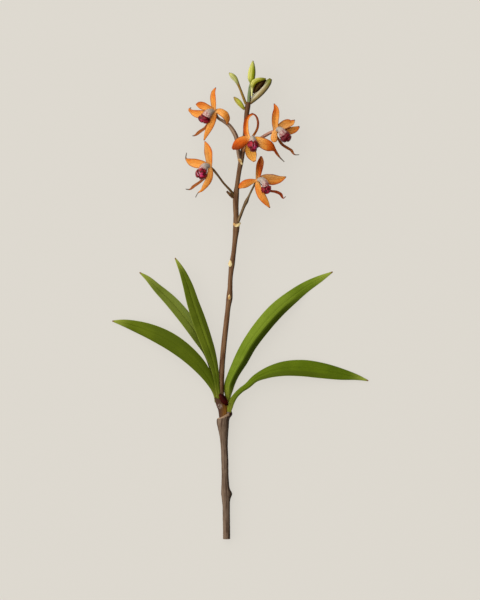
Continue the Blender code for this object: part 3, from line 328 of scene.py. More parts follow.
BUDS = {
    "bud_top": [(20.6, 392.3, 21.9, 1.7), (21, 400, 22.3, 1.7), (21.8, 407.4, 22.7, 1.5),
        (22.3, 412, 22.9, 1.5), (22.4, 412.8, 23, 2.3), (22.7, 414.4, 23.1, 3.2), (23, 417.4, 23.2, 3.5),
        (23.4, 421.4, 23.3, 3.4), (23.8, 425.4, 23.4, 2.6), (24.1, 428.8, 23.5, 1.5),
        (24.3, 431.2, 23.5, 0.4)],
    "bud_left_tall": [(18, 392.2, 22.2, 1.3), (15, 400, 22.8, 1.25), (12, 407.6, 23.4, 1.2),
        (10.2, 411.6, 23.8, 1.6), (8, 415.2, 24, 2.4), (5.2, 418, 24.1, 2.2), (2.8, 420.2, 24.1, 0.6)],
    "bud_left_small": [(16.7, 387.4, 22, 1.1), (14, 390.8, 22.8, 2.1), (11.4, 394, 23.2, 2.4),
        (8.9, 396.6, 23.2, 1.8), (7, 398.6, 23.2, 0.5)],
    "bud_right_arched": [(23.4, 399.6, 23.4, 0.9), (23.6, 404.4, 24.6, 1.3), (24, 408, 25.2, 2),
        (25.3, 411.4, 25.6, 2.6), (28, 413.3, 25.8, 2.2), (31.8, 414.3, 25.6, 1.7),
        (35.8, 414.8, 25.2, 0.6)],
    "bract_dark": [(25.4, 401.6, 22.2, 1.2), (27.6, 405.4, 22.2, 3), (30.2, 409, 22.4, 3.5),
        (33, 412, 22.6, 2.7), (36, 414.2, 22.8, 0.6)],
    "bud_right_long": [(21.6, 392.8, 21.6, 1.4), (25, 396.8, 21.3, 2.7), (29.2, 401.4, 21.2, 3.6),
        (33.2, 405.8, 21.2, 3.8), (36.6, 409.8, 21.2, 3.4), (38.9, 412.8, 21.2, 2.6),
        (40.4, 415, 21.2, 1.3)],
}

MAROON_SCALE = Blade([(1.2, 121.2, 14.2, 1.2), (-1.2, 124.6, 15.6, 2.9), (-3.4, 128, 15.4, 3),
    (-6, 131.4, 14, 1)], [(0.1, -0.1, 1)], -0.5, 0)
# The scales at the feet of the stalks, each with its slot.
STALK_SCALES = {
    "scale_stalk_1": (Blade([(11.2, 343, 22.9, 1.3), (12.9, 341, 23.1, 1.5), (14.6, 337.6, 22.2, 0.4)],
        [(-0.2, 0, 1)], -0.4, 0), "scale_cream"),
    "scale_stalk_2": (Blade([(6.2, 307.6, 20.3, 0.9), (3.4, 310.8, 21.8, 1.4), (0.6, 313.8, 22.3, 0.9)],
        [(-0.1, -0.4, 0.9)], -0.4, 0), "scale_brown"),
    "scale_stalk_5": (Blade([(6.6, 285, 19.2, 0.9), (8.6, 283.2, 20.4, 1.3), (10.8, 283.4, 20.6, 1.4),
        (13.2, 285.6, 18.8, 0.5)], [(-0.4, 0, 0.9), (0, 0, 1), (0.5, 0, 0.8)], 0, 0), "scale_cream"),
}

# The share of each route where its stalk ends and the bud or bract begins.
BUD_STARTS = {
    "bud_top": 0.5,
    "bud_left_tall": 0.66,
    "bud_left_small": 0.08,
    "bud_right_arched": 0.35,
    "bract_dark": 0.0,
    "bud_right_long": 0.1,
}
# The painted lit side, body, painted shaded side, stalk and upper end of each bud, from 0 to 255.
BUD_GREENS = {
    "bud_top": ((200, 196, 102), (148, 152, 26), (104, 112, 16), (112, 124, 84), (186, 186, 100)),
    "bud_left_tall": ((202, 200, 136), (168, 166, 86), (110, 114, 66), (142, 108, 48), (186, 182, 104)),
    "bud_left_small": ((188, 176, 80), (184, 182, 60), (112, 84, 38), (120, 100, 40), (150, 118, 60)),
    "bud_right_arched": ((196, 192, 100), (156, 150, 32), (90, 82, 8), (216, 212, 140), (120, 120, 30)),
    # The dark bract's browns are partly painted shade, for the hollow between the buds where it lies.
    "bract_dark": ((74, 40, 12), (46, 18, 4), (36, 14, 4), (60, 34, 10), (40, 16, 4)),
    "bud_right_long": ((206, 196, 166), (166, 144, 92), (78, 62, 10), (124, 78, 34), (128, 132, 36)),
}
# The light and the dark green of each leaf, and the green of the painted shade on the side that folds down,
# from 0 to 255.
LEAF_GREENS = {
    "leaf_left_low": ((86, 98, 10), (70, 82, 4), (68, 80, 4)),
    "leaf_left_middle": ((106, 116, 42), (84, 96, 22), (104, 116, 46)),
    "leaf_left_high": ((92, 104, 20), (68, 80, 6), (64, 74, 6)),
    "leaf_right_high": ((112, 130, 34), (90, 110, 16), (58, 72, 6)),
    "leaf_right_low": ((92, 110, 12), (74, 92, 6), (76, 90, 12)),
}
# The light and the dark brown of each stalk.
STALK_BROWNS = [
    ((164, 136, 110), (92, 62, 46)),
    ((112, 84, 42), (58, 36, 20)),
    ((190, 130, 84), (120, 72, 46)),
    ((204, 152, 128), (150, 96, 78)),
    ((132, 108, 74), (70, 48, 30)),
]
# The light and dark of the pith and the brown scale, and the dark of the other scales, from 0 to 255.
PITH = ((196, 176, 136), (150, 124, 88))
BROWN_SCALE = ((116, 82, 46), (74, 46, 22))
MAROON_DARK = (30, 0, 2)
CREAM_DARK = (178, 132, 74)
# The sheath's patches and its torn flecks.
PAPER_PATCH = (98, 64, 42)
PAPER_FLECK = (226, 208, 190)
# The painted shade on a stem's side away from the light, as a share of its dark colour.
STEM_SHADE = 0.3
# How the cane, sheath, flower stem, hoods, stalks and buds are swept along their routes.
CANE_SHAPE = {"sides": 48, "flute_width": 0.7, "lumps": 0.5 * MM, "lump_size": 5 * MM, "seed": 3.0}
SHEATH_SHAPE = {"sides": 64, "flutes": 14, "flute_depth": 0.05, "lumps": 0.6 * MM, "lump_size": 4 * MM,
    "seed": 8.0, "caps": 0}
STEM_SHAPE = {"sides": 36, "flutes": 9, "flute_depth": 0.035, "lumps": 0.3 * MM, "lump_size": 4 * MM,
    "seed": 2.0}
HOOD_SHAPE = {"sides": 48, "flutes": 5, "flute_depth": 0.06, "lumps": 0.3 * MM, "lump_size": 2 * MM,
    "caps": 0}
STALK_SHAPE = {"sides": 20, "flutes": 6, "flute_depth": 0.05, "lumps": 0.2 * MM, "lump_size": 3 * MM}
BUD_SHAPE = {"sides": 36, "flutes": BUD_SEPALS, "flute_width": 0.35}
# The bundles of fibres in the cut face, and the size of the cane's corky specks.
BUNDLES = {"density": 4e6, "size": 0.16 * MM, "stretch": 1.0, "seed": 9}
CORK_SIZE = 0.28
# So many square centimetres make a square metre.
SQUARE_CENTIMETRES = 10000.0
# A little light passes through tepals and buds.
SOFT_FLESH = {"Subsurface_Weight": 0.05, "Subsurface_Scale": 0.001}
# The middle of the picture, and the height of the blooms that the camera's height is measured from.
PICTURE_MIDDLE = (-0.28 * MM, 0.52 * MM)
BLOOM_HEIGHT = 20 * MM
# Half the floor's width in metres, how far it lies under the plant, and its grain as a share of its colour.
FLOOR_HALF = 2.0
FLOOR_GAP = 0.2 * MM
FLOOR_GRAIN = 0.97
# The width of the camera's sensor in millimetres.
SENSOR = 36.0
# The tints of the gloss of green, orange, crimson and brown skins.
GREEN_GLOSS = (0.8, 1.0, 0.3)
ORANGE_GLOSS = (1.0, 0.75, 0.4)
CRIMSON_GLOSS = (1.0, 0.5, 0.55)
BROWN_GLOSS = (1.0, 0.85, 0.7)
# The way, to the right and downwards, that the side of stems and buds with painted shade faces.
SHADED_SIDE = (0.92, -0.3, -0.25)
# How brightly the studio lights what faces up, where 1 shows a surface in its own colour.
LIGHT_LEVEL = 1.6
# Where the light comes from, and how far away and how wide the softbox there is, in metres.
LIGHT_FROM = (-0.68, 0.34, 0.65)
# The soft light begins at the first nearness to that way, from -1 to 1, and is full at the second.
LOBE_EDGE = 0.0
LOBE_MIDDLE = 0.95
SOFTBOX_DISTANCE = 1.6
SOFTBOX_WIDTH = 1.3



def own_colour(red, green, blue):
    """A surface's own colour, from the colour, 0 to 255, that it shows in the studio's light."""
    shown = (((c / 255 + 0.055) / 1.055) ** 2.4 if c > 10 else c / 255 / 12.92 for c in (red, green, blue))
    return tuple(c / LIGHT_LEVEL for c in shown)


def colour_prop(label, text, red, green, blue):
    own = own_colour(red, green, blue)
    return bpy.props.FloatVectorProperty(
        name=label, description=text, default=own, size=3, min=0.0, max=1.0, subtype="COLOR"
    )


def number_prop(label, text, default, **kind):
    return bpy.props.FloatProperty(name=label, description=text, default=default, min=0.0, **kind)


def length_prop(label, text, millimetres):
    return number_prop(label, text, millimetres * MM, unit="LENGTH", precision=5)


def share_prop(label, text, share):
    return number_prop(label, text, share, max=1.0, subtype="FACTOR")


def count_prop(label, text, count):
    return bpy.props.IntProperty(name=label, description=text, default=count, min=1)


class CaneLooks(bpy.types.PropertyGroup):
    """The woody cane, the sheath on its collar and the slim flower stem."""

    bark: colour_prop("Bark", "Colour of the cane", 122, 102, 84)
    bark_dark: colour_prop("Dark bark", "Colour of the cane's furrows and of dark fibres", 68, 48, 36)
    bark_pale: colour_prop("Pale bark", "Colour of the cane's worn patches", 134, 112, 92)
    # Painted shade on the cane's side away from the light.
    shaded: colour_prop("Shaded bark", "Colour of the cane on its shaded side", 38, 24, 14)
    rim: colour_prop("Rim", "Colour of the rim of the cane's collar", 158, 130, 104)
    eye: colour_prop("Dark eye", "Colour of the dark eye at the cane's collar", 44, 14, 12)
    flutes: count_prop("Flutes", "Furrows round the cane", 15)
    flute_depth: share_prop("Flute depth", "Depth of a furrow as a share of the radius", 0.035)
    specks: count_prop("Specks", "Raised corky specks on the cane, for each square centimetre", 30)
    paper: colour_prop("Sheath", "Colour of the papery sheath", 72, 40, 22)
    rusty: colour_prop("Rusty sheath", "Colour of the sheath on its right", 128, 82, 20)
    maroon: colour_prop("Maroon scale", "Colour of the scale in the sheath's mouth", 60, 8, 5)
    stem: colour_prop("Flower stem", "Colour of the flower stem on its lit side", 124, 92, 62)
    stem_dark: colour_prop("Dark stem", "Colour of the flower stem's streaks and upper end", 82, 48, 26)
    cream: colour_prop("Cream", "Colour of the dormant eyes and small scales", 238, 218, 160)


class LeafLooks(bpy.types.PropertyGroup):
    """The strap leaves."""

    thickness: length_prop("Thickness", "Thickness of a leaf along its middle", 0.95)
    veins: count_prop("Veins", "Fine veins from edge to edge", 22)
    rib: length_prop("Midrib", "Depth of the furrow along the middle", 0.35)
    wave: share_prop("Wave", "Height of the waves of a leaf's edges, as a share of half its width", 0.025)
    tip: colour_prop("Tip", "Colour near the tip and along the rims", 166, 174, 72)
    base: colour_prop("Base", "Colour where a leaf leaves the sheath", 118, 120, 38)
    dry: colour_prop("Dry tip", "Colour of the last millimetre", 128, 92, 52)


class TepalLooks(bpy.types.PropertyGroup):
    """The orange tepals and the pale columns of the blooms."""

    thickness: length_prop("Thickness", "Thickness of a tepal along its middle", 0.6)
    veins: count_prop("Veins", "Fine veins from edge to edge", 9)
    pale: colour_prop("Pale orange", "Colour where a tepal is lightest", 240, 178, 106)
    orange: colour_prop("Orange", "Main colour", 230, 150, 62)
    # Deep orange, rust and brown are partly painted shade, for shaded sides, folded tepals and straps seen
    # on edge.
    deep: colour_prop("Deep orange", "Colour of the veins and shaded sides", 204, 88, 14)
    rust: colour_prop("Rust", "Colour of folded tepals and of the rims", 136, 46, 6)
    yellow: colour_prop("Yellow", "Colour of the palest tepals", 248, 170, 28)
    brown: colour_prop("Brown", "Colour of the straps that are seen on edge", 146, 80, 30)
    grey: colour_prop("Withered", "Colour of withered tails", 112, 102, 90)
    column: colour_prop("Column", "Colour of the columns", 168, 158, 146)
    column_pink: colour_prop("Column pink", "Colour of a hood near its lip", 204, 166, 154)
    column_speck: colour_prop("Column specks", "Colour of the specks in a hood's mouth", 140, 40, 62)


class LipLooks(bpy.types.PropertyGroup):
    """The crimson lips with their fringes."""

    teeth: count_prop("Fringe teeth", "Teeth round the rim of a lip", 46)
    tooth: length_prop("Tooth length", "Length of a tooth", 0.75)
    ruffles: count_prop("Ruffles", "Ruffles round the rim of a lip", 11)
    ruffle: length_prop("Ruffle height", "Height of a ruffle", 0.32)
    crimson: colour_prop("Crimson", "Main colour of a lip", 158, 14, 32)
    # Dark crimson is painted shade in a lip's grooves; magenta on its front, and pink on its ridges and
    # speckles, are partly painted highlights.
    dark: colour_prop("Dark crimson", "Colour of a lip's hollows", 82, 4, 12)
    magenta: colour_prop("Magenta", "Colour of a lip's front and rim", 214, 52, 112)
    pink: colour_prop("Pink", "Colour of a lip's ridges and speckles", 238, 180, 196)


class BudLooks(bpy.types.PropertyGroup):
    """The buds and the dark bract at the tip of the stem."""

    # Brown is the tips' own colour, and painted shade on the stalks' side away from the light.
    brown: colour_prop("Brown", "Colour of the tips and of the stalks' shaded side", 84, 56, 26)
    seam: share_prop(
        "Seam depth", "Depth of the seams between a bud's sepals, as a share of its radius", 0.1
    )


class StageLooks(bpy.types.PropertyGroup):
    """The floor, the lights and the camera."""

    floor: colour_prop("Floor", "Colour of the floor", 91, 89, 85)
    glow: number_prop("Glow", "Light that the floor gives off itself, which keeps shadows faint", 9.4)
    dim: number_prop("Soft light", "Strength of the light from all round", 0.08)
    bright: number_prop("Bright light", "Strength added towards the upper left", 2.9)
    key: number_prop("Softbox", "Power of the softbox at the upper left", 4.0, unit="POWER")
    height: number_prop("Camera height", "Height of the camera above the blooms", 3.6, unit="LENGTH")
    tall: number_prop("View", "Length of the table that the picture's long side shows", 0.54, unit="LENGTH")


def unit(vectors):
    return vectors / np.linalg.norm(vectors, axis=-1, keepdims=True)


def along(rows, count):
    """A route's numbers at equal steps along a smooth curve through its rows."""
    rows = np.array(rows, float)
    steps = np.linalg.norm(np.diff(rows[:, :3], axis=0), axis=1)
    chord = np.concatenate(([0.0], np.cumsum(steps)))
    slopes = np.gradient(rows, chord, axis=0)
    places = np.linspace(0.0, chord[-1], count)
    spans = np.clip(np.searchsorted(chord, places, side="right") - 1, 0, len(chord) - 2)
    length = (chord[spans + 1] - chord[spans])[:, None]
    t = (places - chord[spans])[:, None] / length
    start, end = rows[spans], rows[spans + 1]
    leave, arrive = slopes[spans] * length, slopes[spans + 1] * length
    blend = 3 * t**2 - 2 * t**3
    return start + (end - start) * blend + leave * (t**3 - 2 * t**2 + t) + arrive * (t**3 - t**2)


def facings_along(facings, count):
    """The way that a blade looks at each of its stations."""
    facings = np.array(facings, float)
    given = np.linspace(0.0, 1.0, len(facings))
    wanted = np.linspace(0.0, 1.0, count)
    return unit(np.stack([np.interp(wanted, given, facings[:, k]) for k in range(3)], axis=1))


def in_metres(points):
    return (np.asarray(points, float)[..., :3] - (MIDDLE_U, MIDDLE_V, 0.0)) * MM


def from_hub(hub, rows):
    return [(hub[0] + row[0], hub[1] + row[1], hub[2] + row[2], row[3]) for row in rows]


def give(mesh, name, values):
    """Stores a number or a vector for each point of a mesh."""
    values = np.asarray(values, float)
    kind, key = ("FLOAT", "value") if values.ndim == 1 else ("FLOAT_VECTOR", "vector")
    mesh.attributes.new(name, kind, "POINT").data.foreach_set(key, values.ravel())


def route_mesh(rows, count, **fields):
    """A line of points along a route, which a tree sweeps. Each field is a value for each point."""
    route = along(rows, count)
    mesh = bpy.data.meshes.new("route")
    mesh.from_pydata(in_metres(route).tolist(), [(k, k + 1) for k in range(count - 1)], [])
    for name, values in fields.items():
        give(mesh, name, values)
    give(mesh, "reach", np.maximum(route[:, 3], THINNEST) * MM)
    return mesh


def feed(socket, value):
    if isinstance(value, bpy.types.NodeSocket):
        socket.id_data.links.new(value, socket)
    else:
        socket.default_value = value


def node(tree, kind, inputs=None, **settings):
    """A node with its settings made and its inputs, by name or number, linked or set."""
    made = tree.nodes.new(kind)
    for name, value in settings.items():
        setattr(made, name, value)
    for key, value in (inputs or {}).items():
        feed(made.inputs[key], value)
    return made


def tree_of(values):
    """The tree of the first value that comes from a node."""
    return next(value.id_data for value in values if isinstance(value, bpy.types.NodeSocket))


def calc(operation, *values):
    inputs = dict(enumerate(values))
    return node(tree_of(values), "ShaderNodeMath", inputs, operation=operation).outputs[0]


def plus(first, second):
    return calc("ADD", first, second)


def minus(first, second):
    return calc("SUBTRACT", first, second)


def times(*values):
    return functools.reduce(functools.partial(calc, "MULTIPLY"), values)


def vector(operation, *values):
    inputs = dict(enumerate(values))
    made = node(tree_of(values), "ShaderNodeVectorMath", inputs, operation=operation)
    return made.outputs["Value" if operation in ("DOT_PRODUCT", "DISTANCE") else "Vector"]


def scaled(direction, amount):
    inputs = {0: direction, "Scale": amount}
    return node(direction.id_data, "ShaderNodeVectorMath", inputs, operation="SCALE").outputs["Vector"]


def parts_of(value):
    return node(value.id_data, "ShaderNodeSeparateXYZ", {0: value}).outputs


def combined(x, y, z=0.0):
    return node(x.id_data, "ShaderNodeCombineXYZ", {0: x, 1: y, 2: z}).outputs[0]


def noise(place, scale, detail=3.0, distortion=0.0):
    inputs = {"Vector": place, "Scale": scale, "Detail": detail, "Distortion": distortion}
    return node(place.id_data, "ShaderNodeTexNoise", inputs).outputs[0]


def named(tree, name, kind="FLOAT"):
    made = node(tree, "GeometryNodeInputNamedAttribute", {"Name": name}, data_type=kind)
    return made.outputs["Attribute"]


def stored(geometry, name, value, kind="FLOAT_VECTOR"):
    inputs = {"Geometry": geometry, "Name": name, "Value": value}
    settings = {"data_type": kind, "domain": "POINT"}
    return node(geometry.id_data, "GeometryNodeStoreNamedAttribute", inputs, **settings).outputs[0]


def moved(geometry, offset):
    inputs = {"Geometry": geometry, "Offset": offset}
    return node(geometry.id_data, "GeometryNodeSetPosition", inputs).outputs[0]


def joined_in(*geometries):
    join = tree_of(geometries).nodes.new("GeometryNodeJoinGeometry")
    for geometry in geometries:
        feed(join.inputs[0], geometry)
    return join.outputs[0]


def random_in(tree, kind, low, high, seed):
    """A random number or vector for each instance."""
    first = 0 if kind == "FLOAT_VECTOR" else 2
    inputs = {first: low, first + 1: high, "Seed": seed}
    return node(tree, "FunctionNodeRandomValue", inputs, data_type=kind).outputs[first // 2]


def input_label(name):
    return name.replace("_", " ").capitalize()


def shared_tree(name, build, **inputs):
    """A tree that is built when it is first asked for, with a named input for each given default."""
    tree = bpy.data.node_groups.get(name)
    if tree:
        return tree
    tree = bpy.data.node_groups.new(name, "GeometryNodeTree")
    tree.interface.new_socket("Geometry", in_out="INPUT", socket_type="NodeSocketGeometry")
    for label, value in inputs.items():
        kind = "NodeSocketInt" if isinstance(value, int) else "NodeSocketFloat"
        socket = tree.interface.new_socket(input_label(label), in_out="INPUT", socket_type=kind)
        socket.default_value = value
    tree.interface.new_socket("Material", in_out="INPUT", socket_type="NodeSocketMaterial")
    tree.interface.new_socket("Geometry", in_out="OUTPUT", socket_type="NodeSocketGeometry")
    given = tree.nodes.new("NodeGroupInput").outputs
    grown_shape = build(tree, given)
    soft = node(tree, "GeometryNodeSetShadeSmooth", {"Geometry": grown_shape}).outputs[0]
    whole = node(tree, "GeometryNodeRealizeInstances", {"Geometry": soft}).outputs[0]
    dressed = node(tree, "GeometryNodeSetMaterial", {"Geometry": whole, "Material": given["Material"]})
    node(tree, "NodeGroupOutput", {0: dressed.outputs[0]})
    return tree


def placed(name, data):
    """A new object in the scene."""
    made = bpy.data.objects.new(name, data)
    bpy.context.scene.collection.objects.link(made)
    return made


def kept(piece, modifier):
    """Keeps what a modifier makes of a piece as its plain mesh."""
    evaluated = piece.evaluated_get(bpy.context.evaluated_depsgraph_get())
    result = bpy.data.meshes.new_from_object(evaluated)
    piece.modifiers.remove(modifier)
    before, piece.data = piece.data, result
    bpy.data.meshes.remove(before)
    return piece


def regrown(piece, tree, **inputs):
    """Runs a tree over an object and keeps the result."""
    modifier = piece.modifiers.new(tree.name, "NODES")
    modifier.node_group = tree
    places = {item.name: item.identifier for item in tree.interface.items_tree if item.in_out == "INPUT"}
    for name, value in inputs.items():
        modifier[places[input_label(name)]] = value
    return kept(piece, modifier)


def grown(name, tree, mesh, **inputs):
    """A new object that a tree grows from a starting mesh."""
    return regrown(placed(name, mesh), tree, **inputs)


def swept(tree, given):
    """Sweeps a fluted and slightly lumpy round stem along a route."""
    place = node(tree, "GeometryNodeInputPosition").outputs[0]
    rail = node(tree, "GeometryNodeMeshToCurve", {"Mesh": given["Geometry"]}).outputs[0]
    progress = node(tree, "GeometryNodeSplineParameter").outputs
    rail = stored(rail, "length", progress["Length"], "FLOAT")
    rail = stored(rail, "middle", place)
    rail = stored(rail, "heading", node(tree, "GeometryNodeInputTangent").outputs[0])
    ring = node(tree, "GeometryNodeCurvePrimitiveCircle", {"Resolution": given["Sides"], "Radius": 1.0})
    ring = stored(ring.outputs[0], "turn", progress["Factor"], "FLOAT")
    inputs = {"Curve": rail, "Profile Curve": ring, "Fill Caps": given["Caps"]}
    inputs["Scale"] = named(tree, "reach")
    skin = node(tree, "GeometryNodeCurveToMesh", inputs).outputs[0]
    spoke = vector("SUBTRACT", place, named(tree, "middle", "FLOAT_VECTOR"))
    outward = vector("NORMALIZE", spoke)
    angle = times(named(tree, "turn"), 2 * math.pi)
    ridge = calc("ABSOLUTE", calc("SINE", times(angle, times(given["Flutes"], 0.5))))
    furrow = minus(1.0, calc("POWER", ridge, given["Flute width"]))
    depth = times(furrow, given["Flute depth"], named(tree, "reach"))
    inputs = {"W": given["Seed"], "Scale": calc("DIVIDE", 1.0, given["Lump size"]), "Detail": 2.0}
    lumpy = node(tree, "ShaderNodeTexNoise", inputs, noise_dimensions="4D").outputs[0]
    offset = scaled(outward, minus(times(minus(lumpy, 0.5), given["Lumps"]), depth))
    circle = calc("COSINE", angle), calc("SINE", angle)
    torn = minus(noise(combined(*circle), FRAY_GRAIN), 0.5)
    slope = times(named(tree, "slant"), parts_of(spoke)["X"])
    slope = calc("MULTIPLY_ADD", torn, named(tree, "fray"), slope)
    leaning = scaled(named(tree, "heading", "FLOAT_VECTOR"), slope)
    skin = moved(skin, vector("ADD", offset, leaning))
    skin = stored(skin, "lay", combined(*circle, named(tree, "length")))
    return stored(skin, "outward", outward)


def stem_tree():
    return shared_tree(
        "Stem along a route",
        swept,
        sides=24,
        flutes=8,
        flute_depth=0.03,
        flute_width=1.0,
        lumps=0.0,
        lump_size=0.004,
        seed=0.0,
        caps=1,
    )


def spread(tree, given):
    """Spreads a leaf or tepal along a route, with thin edges, a furrowed midrib and waved rims."""
    rail = node(tree, "GeometryNodeMeshToCurve", {"Mesh": given["Geometry"]}).outputs[0]
    inputs = {"Size X": 2.0, "Size Y": 1.0, "Vertices X": given["Columns"], "Vertices Y": given["Stations"]}
    sheet = node(tree, "GeometryNodeMeshGrid", inputs).outputs[0]
    square = parts_of(node(tree, "GeometryNodeInputPosition").outputs[0])
    across, share = square[0], plus(square[1], 0.5)

    def sampled(name, kind="FLOAT_VECTOR"):
        inputs = {"Curves": rail, "Factor": share, "Value": named(tree, name, kind)}
        return node(tree, "GeometryNodeSampleCurve", inputs, mode="FACTOR", data_type=kind).outputs

    spot = sampled("reach", "FLOAT")
    half, heading = spot["Value"], spot["Tangent"]
    side = vector("NORMALIZE", vector("CROSS_PRODUCT", heading, sampled("facing")["Value"]))
    up = vector("CROSS_PRODUCT", side, heading)
    outer = calc("ABSOLUTE", across)
    outer_squared = times(across, across)
    bow = calc("MULTIPLY_ADD", given["Crease"], outer, times(given["Cup"], outer_squared))
    beyond = calc("MAXIMUM", minus(across, FOLD_FROM), 0.0)
    fading = calc("MAXIMUM", minus(FOLD_TO, share), 0.0)
    bow = calc("MULTIPLY_ADD", times(fading, times(beyond, -1.0)), given["Fold"], bow)
    swing = calc("MULTIPLY_ADD", across, WAVE_SKEW, given["Seed"])
    swing = calc("SINE", calc("MULTIPLY_ADD", times(share, given["Waves"]), WAVE_TURN, swing))
    bow = calc("MULTIPLY_ADD", times(swing, outer_squared), given["Wave"], bow)
    groove = calc("EXPONENT", times(outer_squared, -RIB_SHARPNESS))
    narrow = calc("MINIMUM", calc("DIVIDE", half, RIB_FROM), 1.0)
    lift = minus(times(half, bow), times(groove, narrow, given["Rib"]))
    place = vector("ADD", spot["Position"], scaled(side, times(half, across)))
    place = vector("ADD", place, scaled(up, lift))
    sheet = stored(sheet, "lay", combined(across, share, half))
    sheet = stored(sheet, "mood", sampled("mood")["Value"])
    rim = minus(1.0, calc("POWER", outer, RIM_POWER))
    toward = calc("ABSOLUTE", calc("MULTIPLY_ADD", share, 2.0, -1.0))
    ends = minus(1.0, calc("POWER", toward, END_POWER))
    sheet = stored(sheet, "body", calc("SQRT", calc("MAXIMUM", times(rim, ends), 0.0)), "FLOAT")
    sheet = node(tree, "GeometryNodeSetPosition", {"Geometry": sheet, "Position": place}).outputs[0]
    normal = node(tree, "GeometryNodeInputNormal").outputs[0]
    thick = times(named(tree, "body"), given["Thickness"])
    front, back = (moved(sheet, scaled(normal, times(thick, way))) for way in (0.5, -0.5))
    back = node(tree, "GeometryNodeFlipFaces", {"Mesh": back}).outputs[0]
    inputs = {"Geometry": joined_in(front, back), "Distance": 1e-7}
    return node(tree, "GeometryNodeMergeByDistance", inputs).outputs[0]


def blade_tree():
    return shared_tree(
        "Blade along a route",
        spread,
        stations=60,
        columns=25,
        thickness=0.001,
        cup=0.0,
        crease=0.0,
        rib=0.0002,
        wave=0.0,
        waves=3.0,
        fold=0.0,
        seed=0.0,
    )


def fringed(tree, given):
    """Sets a row of fine leaning teeth along the rim of a lip."""
    lip, tooth = given["Geometry"], given["Tooth"]
    on_rim = calc("GREATER_THAN", named(tree, "rim"), 0.99)
    rim = node(tree, "GeometryNodeMeshToCurve", {"Mesh": lip, "Selection": on_rim}).outputs[0]
    inputs = {"Curve": rim, "Count": given["Teeth"]}
    roots = node(tree, "GeometryNodeResampleCurve", inputs, mode="COUNT").outputs[0]
    inputs = {"Vertices": TOOTH_SIDES, "Side Segments": 3, "Depth": tooth}
    inputs.update({"Radius Bottom": times(tooth, TOOTH_FOOT), "Radius Top": times(tooth, TOOTH_TIP)})
    cone = node(tree, "GeometryNodeMeshCone", inputs, fill_type="NGON").outputs["Mesh"]
    shape = stored(cone, "lay", TOOTH_LAY)
    straying = random_in(tree, "FLOAT_VECTOR", (-1.0, -1.0, -1.0), (1.0, 1.0, 1.0), given["Seed"])
    heading = vector("ADD", named(tree, "outward", "FLOAT_VECTOR"), scaled(straying, given["Spread"]))
    turned = node(tree, "FunctionNodeAlignRotationToVector", {"Vector": heading}, axis="Z").outputs[0]
    size = random_in(tree, "FLOAT", 0.6, 1.25, given["Seed"])
    inputs = {"Points": roots, "Instance": shape, "Rotation": turned, "Scale": size}
    return joined_in(lip, node(tree, "GeometryNodeInstanceOnPoints", inputs).outputs[0])


def fringe_tree():
    return shared_tree("Fringe along a rim", fringed, teeth=40, tooth=0.0008, spread=0.45, seed=0)


def speckled(tree, given):
    """Scatters small flat raised specks over a skin."""
    skin = given["Geometry"]
    inputs = {"Mesh": skin, "Density": given["Density"], "Seed": given["Seed"]}
    spots = node(tree, "GeometryNodeDistributePointsOnFaces", inputs, distribute_method="RANDOM").outputs
    speck = node(tree, "GeometryNodeMeshIcoSphere", {"Radius": given["Size"], "Subdivisions": 2}).outputs[0]
    size = random_in(tree, "FLOAT", 0.4, 1.0, given["Seed"])
    flat = combined(size, times(size, given["Stretch"]), times(size, SPECK_HEIGHT))
    inputs = {"Points": spots["Points"], "Instance": speck, "Rotation": spots["Rotation"], "Scale": flat}
    return joined_in(skin, node(tree, "GeometryNodeInstanceOnPoints", inputs).outputs[0])


def specks_tree():
    return shared_tree("Specks on a skin", speckled, density=300000.0, size=0.0004, stretch=1.6, seed=0)


def new_material(name, roughness, gloss=0.12, tint=BROWN_GLOSS, **constants):
    """A material's node tree and shader, with what is the same all over already set."""
    material = bpy.data.materials.new(name)
    material.use_nodes = True
    shader = material.node_tree.nodes["Principled BSDF"]
    shader.inputs["Roughness"].default_value = roughness
    shader.inputs["Specular IOR Level"].default_value = gloss
    shader.inputs["Specular Tint"].default_value = (*tint, 1.0)
    for label, value in constants.items():
        shader.inputs[label.replace("_", " ")].default_value = value
    return material, material.node_tree, shader


def read(tree, name, output="Vector"):
    return node(tree, "ShaderNodeAttribute", attribute_name=name).outputs[output]


def object_place(tree):
    return tree.nodes.new("ShaderNodeTexCoord").outputs["Object"]


def smooth(value, start, end, amount=1.0):
    """Rises smoothly from 0 at start to the amount at end, or the other way where start is the larger."""
    inputs = {"Value": value, "From Min": start, "From Max": end, "To Max": amount}
    return node(value.id_data, "ShaderNodeMapRange", inputs, interpolation_type="SMOOTHSTEP").outputs[0]


def layered(colour, *coats):
    """A colour under coats of other colours, each laid on by its share."""
    for share, coat in coats:
        made = node(share.id_data, "ShaderNodeMix", {0: share}, data_type="RGBA")
        for index, value in ((6, colour), (7, coat)):
            feed(made.inputs[index], value if isinstance(value, bpy.types.NodeSocket) else (*value, 1.0))
        colour = made.outputs[2]
    return colour


def stretched(place, along_scale, round_scale):
    """A stem's own place, its length in millimetres and its turn as a circle, for lengthwise streaks."""
    parts = parts_of(place)
    circle = [times(parts[k], round_scale) for k in (0, 1)]
    return combined(*circle, times(parts[2], along_scale / MM))


def veined(across, share, grain, length, detail, veins, thinness):
    """Streaks and fine veins that run along a blade."""
    streaks = noise(combined(times(across, veins * grain), times(share, length)), 1.0, detail)
    swing = calc("ABSOLUTE", calc("COSINE", times(across, veins * math.pi)))
    return streaks, calc("POWER", swing, thinness)


# How far a skin faces the side where stems and buds get painted shade.
def away_from_light(tree):
    return vector("DOT_PRODUCT", read(tree, "outward"), SHADED_SIDE)


def painted(material, shader, colour, height, distance, strength=0.6):
    """Gives a material its colour and its fine relief."""
    feed(shader.inputs["Base Color"], colour)
    inputs = {"Height": height, "Distance": distance, "Strength": strength}
    feed(shader.inputs["Normal"], node(shader.id_data, "ShaderNodeBump", inputs).outputs[0])
    return material


